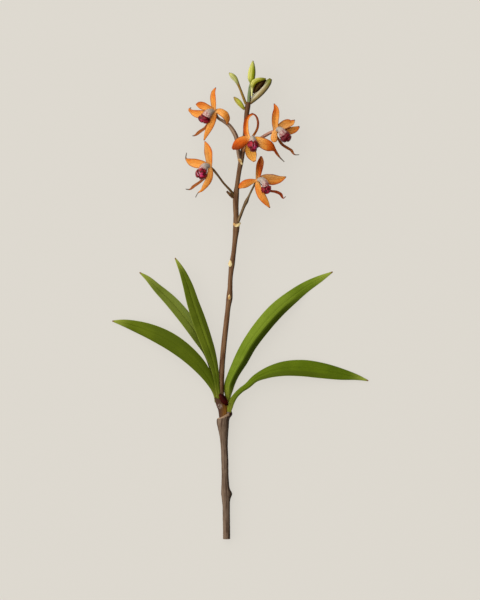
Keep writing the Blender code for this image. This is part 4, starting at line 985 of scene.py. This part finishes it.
def leaf_material(name, light, dark, shaded, looks):
    """Satin green with faint veins, a thin paler rim and a dry tip. Painted shade darkens the side that a
    fold bends down.
    """
    material, tree, shader = new_material(name, 0.45, 0.1, GREEN_GLOSS)
    light, dark, shaded = (own_colour(*colour) for colour in (light, dark, shaded))
    across, share = parts_of(read(tree, "lay"))[:2]
    outer = calc("ABSOLUTE", across)
    streaks, vein = veined(across, share, 0.6, 5.0, 5.0, looks.veins, 10.0)
    # Painted shade on the side on the right of the heading, from near the base to near the tip.
    painted_shade_strip = times(smooth(across, 0.3, 0.45), smooth(share, 0.86, 0.6), smooth(share, 0.02, 0.12))
    colour = layered(
        dark,
        (smooth(noise(object_place(tree), 45.0, 4.0), 0.3, 0.7), light),
        (smooth(streaks, 0.45, 0.75, 0.5), dark),
        (times(vein, 0.1), light),
        (smooth(outer, 0.07, 0.0, 0.25), dark),
        (smooth(share, 0.16, 0.0, 0.85), looks.base),
        (smooth(share, 0.86, 1.0, 0.6), looks.tip),
        (painted_shade_strip, shaded),
        (smooth(outer, 0.93, 1.0, 0.5), looks.tip),
        (smooth(share, 0.982, 0.994), looks.dry),
    )
    feed(shader.inputs["Roughness"], plus(smooth(streaks, 0.2, 0.8, 0.2), 0.35))
    return painted(material, shader, colour, calc("MULTIPLY_ADD", vein, 0.5, streaks), 0.0001, 0.4)


def tepal_material(name, looks):
    """Orange with fine deep veins and rust rims, turned to rust or to yellow by a tepal's tone, which is
    partly painted light and shade.
    """
    material, tree, shader = new_material(name, 0.45, 0.12, ORANGE_GLOSS, **SOFT_FLESH)
    shader.inputs["Subsurface Radius"].default_value = (1.0, 0.5, 0.15)
    across, share = parts_of(read(tree, "lay"))[:2]
    mood = parts_of(read(tree, "mood"))
    outer = calc("ABSOLUTE", across)
    streaks, vein = veined(across, share, 0.8, 3.0, 4.0, looks.veins, 14.0)
    tone = calc("MULTIPLY_ADD", mood[2], across, mood[0])
    tone = plus(tone, smooth(noise(object_place(tree), 160.0), 0.35, 0.65, 0.12))
    colour = layered(
        looks.pale,
        (smooth(tone, -0.25, 0.35), looks.orange),
        (smooth(tone, 0.2, 0.7), looks.deep),
        (smooth(tone, 0.6, 1.05), looks.rust),
        (smooth(tone, 1.05, 1.4), looks.brown),
        (smooth(mood[0], 0.0, -0.3, 0.9), looks.yellow),
        (smooth(streaks, 0.5, 0.8, 0.5), looks.deep),
        (times(vein, 0.25), looks.deep),
        (smooth(outer, 0.12, 0.0, 0.3), looks.deep),
        (smooth(share, 0.22, 0.02, 0.6), looks.pale),
        (smooth(outer, 0.74, 1.0, 0.85), looks.rust),
        (smooth(share, 0.93, 1.0, 0.8), looks.rust),
        (mood[1], looks.grey),
    )
    return painted(material, shader, colour, calc("MULTIPLY_ADD", vein, 0.8, streaks), 0.00012)


def column_material(looks):
    """Grey-white, turning to pink with crimson specks and lines towards the hood's mouth."""
    material, tree, shader = new_material("column_blush", 0.42, 0.25)
    lay = read(tree, "lay")
    share = parts_of(read(tree, "mood"))[0]
    streaks = noise(stretched(lay, 0.25, 3.5), 1.0, 4.0)
    specks = smooth(noise(object_place(tree), 800.0, 1.0), 0.52, 0.58)
    lines = smooth(noise(stretched(lay, 0.2, 5.0), 1.0, 2.0), 0.53, 0.6)
    spotted = times(calc("MAXIMUM", specks, lines), smooth(share, 0.4, 0.85, 0.85))
    colour = layered(
        looks.column,
        (smooth(share, 0.35, 1.0), looks.column_pink),
        (smooth(streaks, 0.5, 0.8, 0.4), looks.column_pink),
        (spotted, looks.column_speck),
    )
    return painted(material, shader, colour, streaks, 0.0001)


def lip_material(looks):
    """Crimson with painted shade in its grooves; its pink ridges, speckles and magenta front are partly
    painted highlights, and its rim is magenta.
    """
    material, tree, shader = new_material("lip_crimson", 0.3, 0.25, CRIMSON_GLOSS)
    lay = read(tree, "lay")
    ridge, groove, rib = parts_of(read(tree, "mood"))
    bright = read(tree, "bright", "Fac")
    blots = noise(object_place(tree), 420.0)
    fine = noise(object_place(tree), 1500.0)
    front = vector("DISTANCE", lay, LIP_FRONT)
    colour = layered(
        looks.dark,
        (smooth(blots, 0.42, 0.62), looks.crimson),
        (smooth(bright, 0.6, 0.0, 0.8), looks.dark),
        # A magenta painted highlight on the front of brighter lips.
        (times(smooth(front, 0.5, 0.15, 0.8), bright), looks.magenta),
        # Painted shade in the grooves between the lobes.
        (smooth(groove, 0.08, 0.5, 0.9), looks.dark),
        # Magenta rib crests and pink ridges, partly painted highlights.
        (times(rib, smooth(blots, 0.5, 0.7, 0.3)), looks.magenta),
        (smooth(ridge, 0.35, 0.9, 0.65), looks.pink),
        (smooth(parts_of(lay)[2], 0.9, 1.0, 0.4), looks.magenta),
        # Pink speckles on brighter lips: painted glints.
        (times(smooth(fine, 0.66, 0.76, 0.6), bright), looks.pink),
    )
    return painted(material, shader, colour, calc("MULTIPLY_ADD", fine, 0.5, blots), 0.0002)


def bark_material(looks):
    """Brown bark with lengthwise furrows, paler patches, a pale rim at the collar, dark eyes, and painted
    shade on its side away from the light.
    """
    material, tree, shader = new_material("cane_bark", 0.62, 0.08)
    lay = read(tree, "lay")
    share = parts_of(read(tree, "mood"))[0]
    streaks = noise(stretched(lay, 0.06, 3.2), 1.0, 6.0)
    fine = noise(stretched(lay, 0.3, 9.0), 1.0, 4.0)
    colour = layered(
        looks.bark,
        (smooth(streaks, 0.35, 0.7), looks.bark_dark),
        (smooth(fine, 0.45, 0.7, 0.4), looks.bark_dark),
        (smooth(noise(object_place(tree), 95.0), 0.55, 0.75, 0.45), looks.bark_pale),
        # Painted shade on the side away from the light.
        (smooth(away_from_light(tree), 0.1, 0.85, 0.95), looks.shaded),
        (smooth(share, 0.982, 0.988), looks.rim),
        (smooth(read(tree, "eye", "Fac"), 0.15, 0.6), looks.eye),
    )
    return painted(material, shader, colour, calc("MULTIPLY_ADD", fine, 0.5, streaks), 0.0004)


def stem_material(name, light, dark):
    """A smooth waxy stem with faint lengthwise streaks, darker at its end, with painted shade on its side
    away from the light.
    """
    material, tree, shader = new_material(name, 0.45)
    share = parts_of(read(tree, "mood"))[0]
    streaks = noise(stretched(read(tree, "lay"), 0.08, 2.6), 1.0, 5.0)
    colour = layered(
        light,
        (smooth(streaks, 0.35, 0.7), dark),
        (smooth(noise(object_place(tree), 120.0), 0.55, 0.8, 0.5), dark),
        (smooth(share, 0.94, 1.0, 0.8), dark),
        # Painted shade on the side away from the light.
        (smooth(away_from_light(tree), 0.15, 0.9, 0.95), [c * STEM_SHADE for c in dark]),
    )
    return painted(material, shader, colour, streaks, 0.0002)


def bud_material(name, colours, looks):
    """A bud on its stalk, streaked, with a painted lit side and painted shade in its seams and away from the
    light.
    """
    material, tree, shader = new_material(name, 0.42, 0.12, GREEN_GLOSS, **SOFT_FLESH)
    painted_lit_side, body, shaded, stalk, end = (own_colour(*colour) for colour in colours)
    lay = read(tree, "lay")
    parts = parts_of(lay)
    on_bud, onward = parts_of(read(tree, "mood"))[:2]
    turn = calc("ARCTAN2", parts[1], parts[0])
    seam = calc("ABSOLUTE", calc("SINE", times(turn, BUD_SEPALS / 2)))
    streaks = noise(stretched(lay, 0.12, 3.0), 1.0, 4.0)
    away = calc("MULTIPLY_ADD", streaks, 0.5, away_from_light(tree))
    # A painted lit side towards the light, and painted shade away from it and in the seams.
    bud = layered(
        painted_lit_side,
        (smooth(away, -0.5, 0.35), body),
        (smooth(onward, 0.55, 0.95, 0.9), end),
        (smooth(away, 0.35, 0.9), shaded),
        (smooth(seam, 0.25, 0.0, 0.7), shaded),
        (smooth(onward, 0.2, 0.0, 0.5), shaded),
        (smooth(onward, 0.9, 1.0, 0.6), looks.brown),
    )
    # Painted shade in brown on the stalk's side away from the light.
    stem = layered(stalk, (smooth(away, 0.1, 0.8), looks.brown))
    return painted(material, shader, layered(stem, (on_bud, bud)), streaks, 0.0002, 0.5)


def scale_material(name, light, dark, roughness=0.55, gloss=0.12):
    """A papery surface with fine fibres and darker patches, for scales, eyes and pith."""
    material, tree, shader = new_material(name, roughness, gloss)
    place = object_place(tree)
    fibres = noise(place, 900.0, 4.0, 0.6)
    patches = noise(place, 260.0, 2.0)
    colour = layered(light, (smooth(patches, 0.35, 0.65), dark), (smooth(fibres, 0.5, 0.75, 0.4), dark))
    return painted(material, shader, colour, fibres, 0.00015)


def paper_material(looks):
    """The dry sheath: brown fibres, rusty on the right, with torn pale flecks."""
    material, tree, shader = new_material("sheath_paper", 0.7)
    place = object_place(tree)
    fibres = noise(stretched(read(tree, "lay"), 0.1, 6.0), 1.0, 6.0)
    flecks = noise(place, 2600.0, 2.0)
    start, end = ((u - MIDDLE_U) * MM for u in SHEATH_TURN)
    rightward = calc("MULTIPLY_ADD", fibres, 0.002, parts_of(place)[0])
    from_tear = vector("DISTANCE", place, in_metres(TORN_PATCH).tolist())
    torn = times(smooth(flecks, 0.55, 0.6, 0.8), smooth(from_tear, 3.2 * MM, 1.4 * MM))
    colour = layered(
        looks.paper,
        (smooth(fibres, 0.35, 0.7), looks.bark_dark),
        (smooth(noise(place, 210.0), 0.5, 0.7, 0.4), own_colour(*PAPER_PATCH)),
        (smooth(rightward, start, end, 0.9), looks.rusty),
        (torn, own_colour(*PAPER_FLECK)),
    )
    return painted(material, shader, colour, calc("MULTIPLY_ADD", flecks, 0.4, fibres), 0.0003, 0.7)


def settled(piece, slot, *nodes):
    """Puts a finished piece in the place of its solids, on the plant's one body."""
    piece.data.set_sharp_from_angle(angle=SHARP_ANGLE)
    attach(piece, "root")
    if nodes:
        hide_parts(*nodes)


def walled(piece, thickness):
    """An open skin with a wall of some thickness, inwards."""
    wall = piece.modifiers.new("wall", "SOLIDIFY")
    wall.thickness = thickness
    wall.offset = -1.0
    return kept(piece, wall)


def read_points(vertices, key="co"):
    values = np.empty(len(vertices) * 3)
    vertices.foreach_get(key, values)
    return values.reshape(-1, 3)


def swollen(piece, eyes):
    """Raises rounded eyes on a skin. Its attribute "eye" says how dark each is."""
    mesh = piece.data
    place, normals = read_points(mesh.vertices), read_points(mesh.vertex_normals, "vector")
    points, dark = place.copy(), np.zeros(len(place))
    for middle, height, reach, darkness in eyes:
        near = np.exp(-((np.linalg.norm(place - in_metres(middle), axis=1) / (reach * MM)) ** 2))
        points += normals * (near * height * MM)[:, None]
        dark = np.maximum(dark, near * darkness)
    mesh.vertices.foreach_set("co", points.ravel())
    give(mesh, "eye", dark)
    mesh.update()


def kept_above(piece, floor, start):
    """Bends what lies lower than the start smoothly, so that nothing is below the floor."""
    points = read_points(piece.data.vertices)
    height = points[:, 2]
    room = start - floor
    points[:, 2] = np.where(height < start, floor + room * np.exp((height - start) / room), height)
    piece.data.vertices.foreach_set("co", points.ravel())
    piece.data.update()


def as_one(name, pieces):
    """Pieces joined in one object."""
    first = pieces[0]
    with bpy.context.temp_override(active_object=first, selected_editable_objects=pieces):
        bpy.ops.object.join()
    first.name = name
    return first


def stem_route(rows, rings, slants=(0.0, 0.0), fray=0.0, mood=None):
    """The route of a stem, whose ends may be cut aslant, rising to the right, or frayed."""
    share = np.linspace(0.0, 1.0, rings)
    length = np.linalg.norm(np.diff(np.array(rows, float)[:, :3], axis=0), axis=1).sum()
    start = np.clip(1 - share * length / SLANT_REACH, 0, 1) ** 2
    end = np.clip(1 - (1 - share) * length / SLANT_REACH, 0, 1) ** 2
    mood = np.stack([share, share * 0, share * 0], axis=1) if mood is None else mood
    return route_mesh(rows, rings, slant=slants[0] * start + slants[1] * end, fray=fray * end, mood=mood)


def blade_piece(name, form, material, stations, columns, thickness, **inputs):
    """A leaf, tepal or scale. Its mood holds its tone, its withered share and its tone's turn sideways."""
    share = np.linspace(0.0, 1.0, stations)
    withered = share * 0
    if form.tail:
        withered = np.clip((share - (1 - form.tail)) / max(form.tail * 0.4, 0.01), 0, 1)
    base, tip, side = form.tone
    mood = np.stack([base + (tip - base) * share, withered, share * 0 + side], axis=1)
    route = route_mesh(form.rows, stations, facing=facings_along(form.facings, stations), mood=mood)
    inputs.update(cup=float(form.cup), crease=float(form.crease), fold=float(form.fold), material=material)
    sizes = {"stations": stations, "columns": columns, "thickness": thickness}
    return grown(name, blade_tree(), route, **sizes, **inputs)


def lump_piece(name, middle, sizes, material, peak=0.0):
    """A rounded swelling whose upper end, along v, is drawn out to a peak."""
    shape = bmesh.new()
    bmesh.ops.create_uvsphere(shape, u_segments=LUMP_SIDES, v_segments=LUMP_RINGS, radius=1.0)
    for vert in shape.verts:
        x, y, z = vert.co
        narrow = 1 - 0.5 * peak * max(y, 0.0)
        groove = 1 - LUMP_GROOVE * abs(math.sin(4 * math.atan2(z, x)))
        point = (x * narrow * groove, y + peak * max(y, 0.0) ** 2, z * narrow * groove)
        vert.co = in_metres([middle[k] + sizes[k] * point[k] for k in range(3)])
    mesh = bpy.data.meshes.new(name)
    shape.to_mesh(mesh)
    shape.free()
    mesh.shade_smooth()
    mesh.materials.append(material)
    return placed(name, mesh)


def lip_mesh(hub, lip, looks):
    """A ball of three ribbed lobes, with two ridges by its front dimple and a ruffled rim at its back."""
    forward = unit(np.array(lip.facing, float))
    right = unit(np.cross((0.0, 1.0, 0.0), forward))
    up = np.cross(forward, right)
    cosine, sine = math.cos(lip.turn), math.sin(lip.turn)
    right, up = cosine * right + sine * up, cosine * up - sine * right
    middle = np.array(hub, float) + lip.middle
    wide, high, deep = lip.sizes
    share = np.linspace(0.0, 1.0, LIP_RINGS + 1)[1:, None]
    angle = np.linspace(0.0, 2 * math.pi, LIP_SEGMENTS, endpoint=False)[None, :]
    polar = share * LIP_WRAP
    side = np.sin(polar)
    groove = (0.5 + 0.5 * np.cos(LIP_LOBES * (angle - math.pi / 2))) ** 7 * side**1.5
    rib = (0.5 + 0.5 * np.cos(LIP_RIBS * angle)) * side**2
    dimple = np.exp(-((polar / DIMPLE_REACH) ** 2)) + 0 * angle
    ridge = np.exp(-(((np.abs(np.cos(angle)) * side - LIP_RIDGE_PLACE) / LIP_RIDGE_WIDTH) ** 2))
    ridge = ridge * np.clip(np.sin(angle) * 2 + 0.6, 0, 1) * np.clip(1.3 - polar, 0, 1)
    back = np.clip((share - 0.75) / 0.25, 0, 1) ** 2
    swell = 1 - LIP_GROOVE * groove - LIP_RIB * (1 - rib) * side**2
    swell = swell - LIP_DIMPLE * dimple + LIP_RIDGE * ridge
    swell = swell + back * (0.06 + looks.ruffle / MM / wide * np.sin(looks.ruffles * angle))
    spoke = np.cos(angle)[..., None] * right * wide + np.sin(angle)[..., None] * up * high
    outward = side[..., None] * spoke + np.cos(polar)[..., None] * forward * deep
    outer = middle + swell[..., None] * outward
    outward = unit(outward)
    inner = outer - outward * (LIP_THICKNESS * (1 - share**8))[..., None]
    front = middle + forward * deep * (1 - LIP_DIMPLE)
    points = [front] + outer.reshape(-1, 3).tolist()
    points += [front - forward * LIP_THICKNESS] + inner[:-1].reshape(-1, 3).tolist()
    faces = []
    inside, rim_start = 1 + LIP_RINGS * LIP_SEGMENTS, 1 + (LIP_RINGS - 1) * LIP_SEGMENTS
    for turn in range(LIP_SEGMENTS):
        after = (turn + 1) % LIP_SEGMENTS
        faces.append((0, 1 + turn, 1 + after))
        faces.append((inside, inside + 1 + after, inside + 1 + turn))
        for ring in range(LIP_RINGS - 1):
            low, high = 1 + ring * LIP_SEGMENTS, 1 + (ring + 1) * LIP_SEGMENTS
            faces.append((low + turn, high + turn, high + after, low + after))
            low, high = inside + low, rim_start if ring == LIP_RINGS - 2 else inside + high
            faces.append((low + turn, low + after, high + after, high + turn))
    mesh = bpy.data.meshes.new("lip")
    mesh.from_pydata(in_metres(points).tolist(), [], faces)
    whole = np.ones((LIP_RINGS, LIP_SEGMENTS))
    lay = np.stack([np.cos(angle) * side, np.sin(angle) * side, share * whole], axis=-1)
    # The ridges' share of painted highlight grows with the lip's bright.
    mood = np.stack([ridge * (0.3 + 0.7 * lip.bright), groove, rib], axis=-1)
    still = np.zeros(3)
    for name, field, tip in (("lay", lay, still), ("mood", mood, still), ("outward", outward, forward)):
        give(mesh, name, np.concatenate([[tip], field.reshape(-1, 3), [tip], field[:-1].reshape(-1, 3)]))
    rim = np.zeros(len(points))
    rim[rim_start:inside] = 1.0
    give(mesh, "rim", rim)
    give(mesh, "bright", rim * 0 + lip.bright)
    return mesh


class EPIDENDRUM_OT_cane(bpy.types.Operator):
    """Grow the cane with its dormant eyes and corky specks"""

    bl_idname = "epidendrum.cane"
    bl_label = "Cane"

    def execute(self, context):
        looks = context.scene.epidendrum_cane
        bark = bark_material(looks)
        route = stem_route(CANE, 240, slants=(0.0, TOP_SLANT))
        furrows = {"flutes": looks.flutes, "flute_depth": looks.flute_depth}
        cane = grown("cane_bark_skin", stem_tree(), route, material=bark, **furrows, **CANE_SHAPE)
        swollen(cane, CANE_EYES)
        density = looks.specks * SQUARE_CENTIMETRES
        regrown(cane, specks_tree(), density=density, size=CORK_SIZE * MM, seed=5, material=bark)
        settled(cane, "cane_bark", "cane")
        return {"FINISHED"}


class EPIDENDRUM_OT_cut_face(bpy.types.Operator):
    """Finish the cane's cut end with its pale pith and bundles of fibres"""

    bl_idname = "epidendrum.cut_face"
    bl_label = "Cut face"

    def execute(self, context):
        pith = scale_material("cane_pith", *(own_colour(*colour) for colour in PITH), 0.8)
        route = along(CANE, 200)
        middle, heading = route[0, :3], unit(route[1, :3] - route[0, :3])
        right = unit(np.cross(heading, (0.0, 0.0, 1.0)))
        up = np.cross(right, heading)
        points, faces = [], []
        for ring in range(CUT_RINGS):
            share = ring / (CUT_RINGS - 1)
            depth = CUT_DISH * (1 - share**2) - CUT_PROUD
            for turn in range(CUT_SIDES):
                angle = 2 * math.pi * turn / CUT_SIDES
                spoke = math.cos(angle) * right + math.sin(angle) * up
                points.append(middle + heading * depth + spoke * share * route[0, 3] * CUT_REACH)
        points.append(middle + heading * CUT_ROOT)
        last = (CUT_RINGS - 1) * CUT_SIDES
        for low in range(0, last, CUT_SIDES):
            for turn in range(CUT_SIDES):
                after = (turn + 1) % CUT_SIDES
                faces.append((low + turn, low + after, low + CUT_SIDES + after, low + CUT_SIDES + turn))
        tip = last + CUT_SIDES
        faces += [(last + turn, last + (turn + 1) % CUT_SIDES, tip) for turn in range(CUT_SIDES)]
        shape = bmesh.new()
        corners = [shape.verts.new(p) for p in in_metres(points)]
        for face in faces:
            shape.faces.new([corners[k] for k in face])
        bmesh.ops.remove_doubles(shape, verts=shape.verts, dist=1e-7)
        bmesh.ops.recalc_face_normals(shape, faces=shape.faces)
        mesh = bpy.data.meshes.new("cane_cut_face")
        shape.to_mesh(mesh)
        shape.free()
        settled(grown("cane_cut_face", specks_tree(), mesh, material=pith, **BUNDLES), "cane_bark")
        return {"FINISHED"}


class EPIDENDRUM_OT_sheath(bpy.types.Operator):
    """Wrap the papery sheath and its maroon scale round the leaf bases"""

    bl_idname = "epidendrum.sheath"
    bl_label = "Sheath and scale"

    def execute(self, context):
        looks = context.scene.epidendrum_cane
        route = stem_route(SHEATH, 60, slants=(TOP_SLANT, SHEATH_SLANT), fray=2.4 * MM)
        paper = paper_material(looks)
        sheath = grown("leaf_sheath_paper", stem_tree(), route, material=paper, **SHEATH_SHAPE)
        settled(walled(sheath, SHEATH_WALL * MM), "sheath_paper", "leaf_sheath")
        maroon = scale_material("scale_maroon", looks.maroon, own_colour(*MAROON_DARK), 0.4, 0.03)
        scale = blade_piece("scale_maroon_skin", MAROON_SCALE, maroon, 40, 21, SCALE_THICKNESS * MM)
        settled(scale, "scale_maroon", "scale_maroon")
        return {"FINISHED"}


class EPIDENDRUM_OT_flower_stem(bpy.types.Operator):
    """Grow the slim flower stem with its two dormant eyes and the stalks' scales"""

    bl_idname = "epidendrum.flower_stem"
    bl_label = "Flower stem"

    def execute(self, context):
        looks = context.scene.epidendrum_cane
        skin = stem_material("flower_stem_skin", looks.stem, looks.stem_dark)
        stem = grown("flower_stem_skin", stem_tree(), stem_route(STEM, 420), material=skin, **STEM_SHAPE)
        settled(stem, "stem_skin", "flower_stem")
        cream = scale_material("scale_cream", looks.cream, own_colour(*CREAM_DARK))
        brown = scale_material("scale_brown", *(own_colour(*colour) for colour in BROWN_SCALE))
        for name, (middle, sizes) in STEM_EYES.items():
            settled(lump_piece(name + "_skin", middle, sizes, cream, 0.4), "scale_cream", name)
        for name, (form, slot) in STALK_SCALES.items():
            paper = brown if slot == "scale_brown" else cream
            settled(blade_piece(name + "_skin", form, paper, 24, 13, SCALE_THICKNESS * MM), slot, name)
        return {"FINISHED"}


class EPIDENDRUM_OT_leaves(bpy.types.Operator):
    """Spread the five strap leaves"""

    bl_idname = "epidendrum.leaves"
    bl_label = "Leaves"

    def execute(self, context):
        looks = context.scene.epidendrum_leaf
        for number, (name, form) in enumerate(LEAVES.items()):
            green = leaf_material(name + "_green", *LEAF_GREENS[name], looks)
            shape = {"rib": looks.rib, "wave": looks.wave, "waves": 2.5, "seed": 1.7 * number}
            leaf = blade_piece(name + "_blade", form, green, 150, 41, looks.thickness, **shape)
            kept_above(leaf, LEAF_FLOOR * MM, LEAF_BEND * MM)
            settled(leaf, "leaf_green", name)
        return {"FINISHED"}


class EPIDENDRUM_OT_tepals(bpy.types.Operator):
    """Open the orange tepals of the five blooms"""

    bl_idname = "epidendrum.tepals"
    bl_label = "Tepals"

    def execute(self, context):
        looks = context.scene.epidendrum_tepal
        orange = tepal_material("tepal_orange", looks)
        for number, flower in enumerate(FLOWERS, 1):
            name = f"flower_{number}_tepals"
            pieces = [lump_piece(name, flower.hub, (HUB_RADIUS,) * 3, orange)]
            for index, tepal in enumerate(flower.tepals):
                form = tepal._replace(rows=from_hub(flower.hub, tepal.rows))
                shape = {"rib": 0.2 * MM, "wave": 0.05, "waves": 1.6, "seed": 2.3 * index + number}
                pieces.append(blade_piece(name, form, orange, 56, 21, looks.thickness, **shape))
            settled(as_one(name + "_skin", pieces), "tepal_orange", name)
        return {"FINISHED"}


class EPIDENDRUM_OT_columns(bpy.types.Operator):
    """Spread the pale column of each bloom to the hood that holds its lip"""

    bl_idname = "epidendrum.columns"
    bl_label = "Columns"

    def execute(self, context):
        blush = column_material(context.scene.epidendrum_tepal)
        for number, flower in enumerate(FLOWERS, 1):
            name = f"flower_{number}_column"
            route = stem_route(from_hub(flower.hub, flower.hood), 56, fray=1.2 * MM)
            shape = {"seed": float(number), "material": blush, **HOOD_SHAPE}
            column = grown(name + "_skin", stem_tree(), route, **shape)
            settled(walled(column, HOOD_WALL * MM), "column_blush", name)
        return {"FINISHED"}


class EPIDENDRUM_OT_lips(bpy.types.Operator):
    """Frill and fringe the crimson lip of each bloom"""

    bl_idname = "epidendrum.lips"
    bl_label = "Lips"

    def execute(self, context):
        looks = context.scene.epidendrum_lip
        crimson = lip_material(looks)
        for number, flower in enumerate(FLOWERS, 1):
            name = f"flower_{number}_lip"
            shape = {"teeth": looks.teeth, "tooth": looks.tooth, "seed": number, "material": crimson}
            lip = grown(name + "_skin", fringe_tree(), lip_mesh(flower.hub, flower.lip, looks), **shape)
            settled(lip, "lip_crimson", name)
        return {"FINISHED"}


class EPIDENDRUM_OT_stalks(bpy.types.Operator):
    """Grow the stalk of each bloom"""

    bl_idname = "epidendrum.stalks"
    bl_label = "Stalks"

    def execute(self, context):
        for number, (flower, browns) in enumerate(zip(FLOWERS, STALK_BROWNS), 1):
            name = f"flower_{number}_stalk"
            skin = stem_material(name + "_skin", *(own_colour(*colour) for colour in browns))
            shape = {"seed": float(number), "material": skin, **STALK_SHAPE}
            stalk = grown(name + "_skin", stem_tree(), stem_route(flower.stalk, 90), **shape)
            settled(stalk, "stem_skin", name)
        return {"FINISHED"}


class EPIDENDRUM_OT_buds(bpy.types.Operator):
    """Grow the buds and the dark bract at the tip of the stem"""

    bl_idname = "epidendrum.buds"
    bl_label = "Buds"

    def execute(self, context):
        looks = context.scene.epidendrum_bud
        share = np.linspace(0.0, 1.0, BUD_RINGS)
        for number, (name, rows) in enumerate(BUDS.items()):
            start, colours = BUD_STARTS[name], BUD_GREENS[name]
            body = np.clip((share - start + 0.1) / 0.1, 0, 1)
            onward = np.clip((share - start) / (1 - start), 0, 1)
            route = stem_route(rows, BUD_RINGS, mood=np.stack([body, onward, share], axis=1))
            green = bud_material(name + "_green", colours, looks)
            shape = {"flute_depth": looks.seam, "seed": float(number), "material": green, **BUD_SHAPE}
            bud = grown(name + "_skin", stem_tree(), route, **shape)
            settled(bud, "scale_brown" if name == "bract_dark" else "bud_green", name)
        return {"FINISHED"}


def studio_world(looks):
    """Soft light from all round that grows brighter towards the upper left."""
    world = bpy.data.worlds.new("studio")
    world.use_nodes = True
    tree = world.node_tree
    towards = tree.nodes.new("ShaderNodeTexCoord").outputs["Generated"]
    nearness = vector("DOT_PRODUCT", towards, unit(np.array(LIGHT_FROM)).tolist())
    extra = smooth(nearness, LOBE_EDGE, LOBE_MIDDLE, looks.bright)
    background = tree.nodes["Background"]
    background.inputs["Color"].default_value = (1.0, 0.99, 0.975, 1.0)
    feed(background.inputs["Strength"], plus(extra, looks.dim))
    return world


class EPIDENDRUM_OT_stage(bpy.types.Operator):
    """Lay out the pale floor, the soft lights and the camera that looks straight down"""

    bl_idname = "epidendrum.stage"
    bl_label = "Stage"

    def execute(self, context):
        scene = context.scene
        looks = scene.epidendrum_stage
        material, tree, shader = new_material("stage_floor", 0.9)
        grain = noise(object_place(tree), 9.0, 4.0)
        darker = [c * FLOOR_GRAIN for c in looks.floor]
        feed(shader.inputs["Base Color"], layered(looks.floor, (grain, darker)))
        shader.inputs["Emission Color"].default_value = (*looks.floor, 1.0)
        shader.inputs["Emission Strength"].default_value = looks.glow
        shape = bmesh.new()
        sunk = mathutils.Matrix.Translation((0.0, 0.0, -FLOOR_GAP))
        bmesh.ops.create_grid(shape, x_segments=4, y_segments=4, size=FLOOR_HALF, matrix=sunk)
        mesh = bpy.data.meshes.new("stage_floor")
        shape.to_mesh(mesh)
        shape.free()
        mesh.materials.append(material)
        placed("stage_floor", mesh)
        scene.world = studio_world(looks)
        scene.view_settings.view_transform = "Standard"
        lamp = bpy.data.lights.new("softbox", "AREA")
        lamp.shape = "DISK"
        lamp.size = SOFTBOX_WIDTH
        lamp.energy = looks.key
        softbox = placed("softbox", lamp)
        away = mathutils.Vector(LIGHT_FROM).normalized()
        softbox.location = away * SOFTBOX_DISTANCE
        softbox.rotation_euler = (-away).to_track_quat("-Z", "Y").to_euler()
        lens = bpy.data.cameras.new("camera")
        lens.sensor_fit = "AUTO"
        lens.sensor_width = SENSOR
        lens.lens = SENSOR * looks.height / looks.tall
        lens.clip_start = 0.1
        lens.clip_end = 20.0
        camera = placed("camera", lens)
        camera.location = (*PICTURE_MIDDLE, looks.height + BLOOM_HEIGHT)
        scene.camera = camera
        return {"FINISHED"}


STEPS = (
    EPIDENDRUM_OT_cane,
    EPIDENDRUM_OT_cut_face,
    EPIDENDRUM_OT_sheath,
    EPIDENDRUM_OT_flower_stem,
    EPIDENDRUM_OT_leaves,
    EPIDENDRUM_OT_tepals,
    EPIDENDRUM_OT_columns,
    EPIDENDRUM_OT_lips,
    EPIDENDRUM_OT_stalks,
    EPIDENDRUM_OT_buds,
    EPIDENDRUM_OT_stage,
)
LOOKS = {
    "epidendrum_cane": CaneLooks,
    "epidendrum_leaf": LeafLooks,
    "epidendrum_tepal": TepalLooks,
    "epidendrum_lip": LipLooks,
    "epidendrum_bud": BudLooks,
    "epidendrum_stage": StageLooks,
}


class EPIDENDRUM_PT_panel(bpy.types.Panel):
    """Lists the plant's pieces and their settings"""

    bl_idname = "EPIDENDRUM_PT_panel"
    bl_label = "Epidendrum"
    bl_space_type = "VIEW_3D"
    bl_region_type = "UI"
    bl_category = "Epidendrum"

    def draw(self, context):
        for step in STEPS:
            self.layout.operator(step.bl_idname)
        for name, looks in LOOKS.items():
            box = self.layout.box()
            box.label(text=looks.__doc__.splitlines()[0])
            for prop in looks.__annotations__:
                box.prop(getattr(context.scene, name), prop)


def register():
    for made in (*LOOKS.values(), *STEPS, EPIDENDRUM_PT_panel):
        bpy.utils.register_class(made)
    for name, looks in LOOKS.items():
        setattr(bpy.types.Scene, name, bpy.props.PointerProperty(type=looks))


def unregister():
    for name in LOOKS:
        delattr(bpy.types.Scene, name)
    for made in (EPIDENDRUM_PT_panel, *reversed(STEPS), *reversed(LOOKS.values())):
        bpy.utils.unregister_class(made)


def main():
    register()
    bpy.ops.epidendrum.cane()
    bpy.ops.epidendrum.cut_face()
    bpy.ops.epidendrum.sheath()
    bpy.ops.epidendrum.flower_stem()
    bpy.ops.epidendrum.leaves()
    bpy.ops.epidendrum.tepals()
    bpy.ops.epidendrum.columns()
    bpy.ops.epidendrum.lips()
    bpy.ops.epidendrum.stalks()
    bpy.ops.epidendrum.buds()
    bpy.ops.epidendrum.stage()


if __name__ == "__main__":
    main()
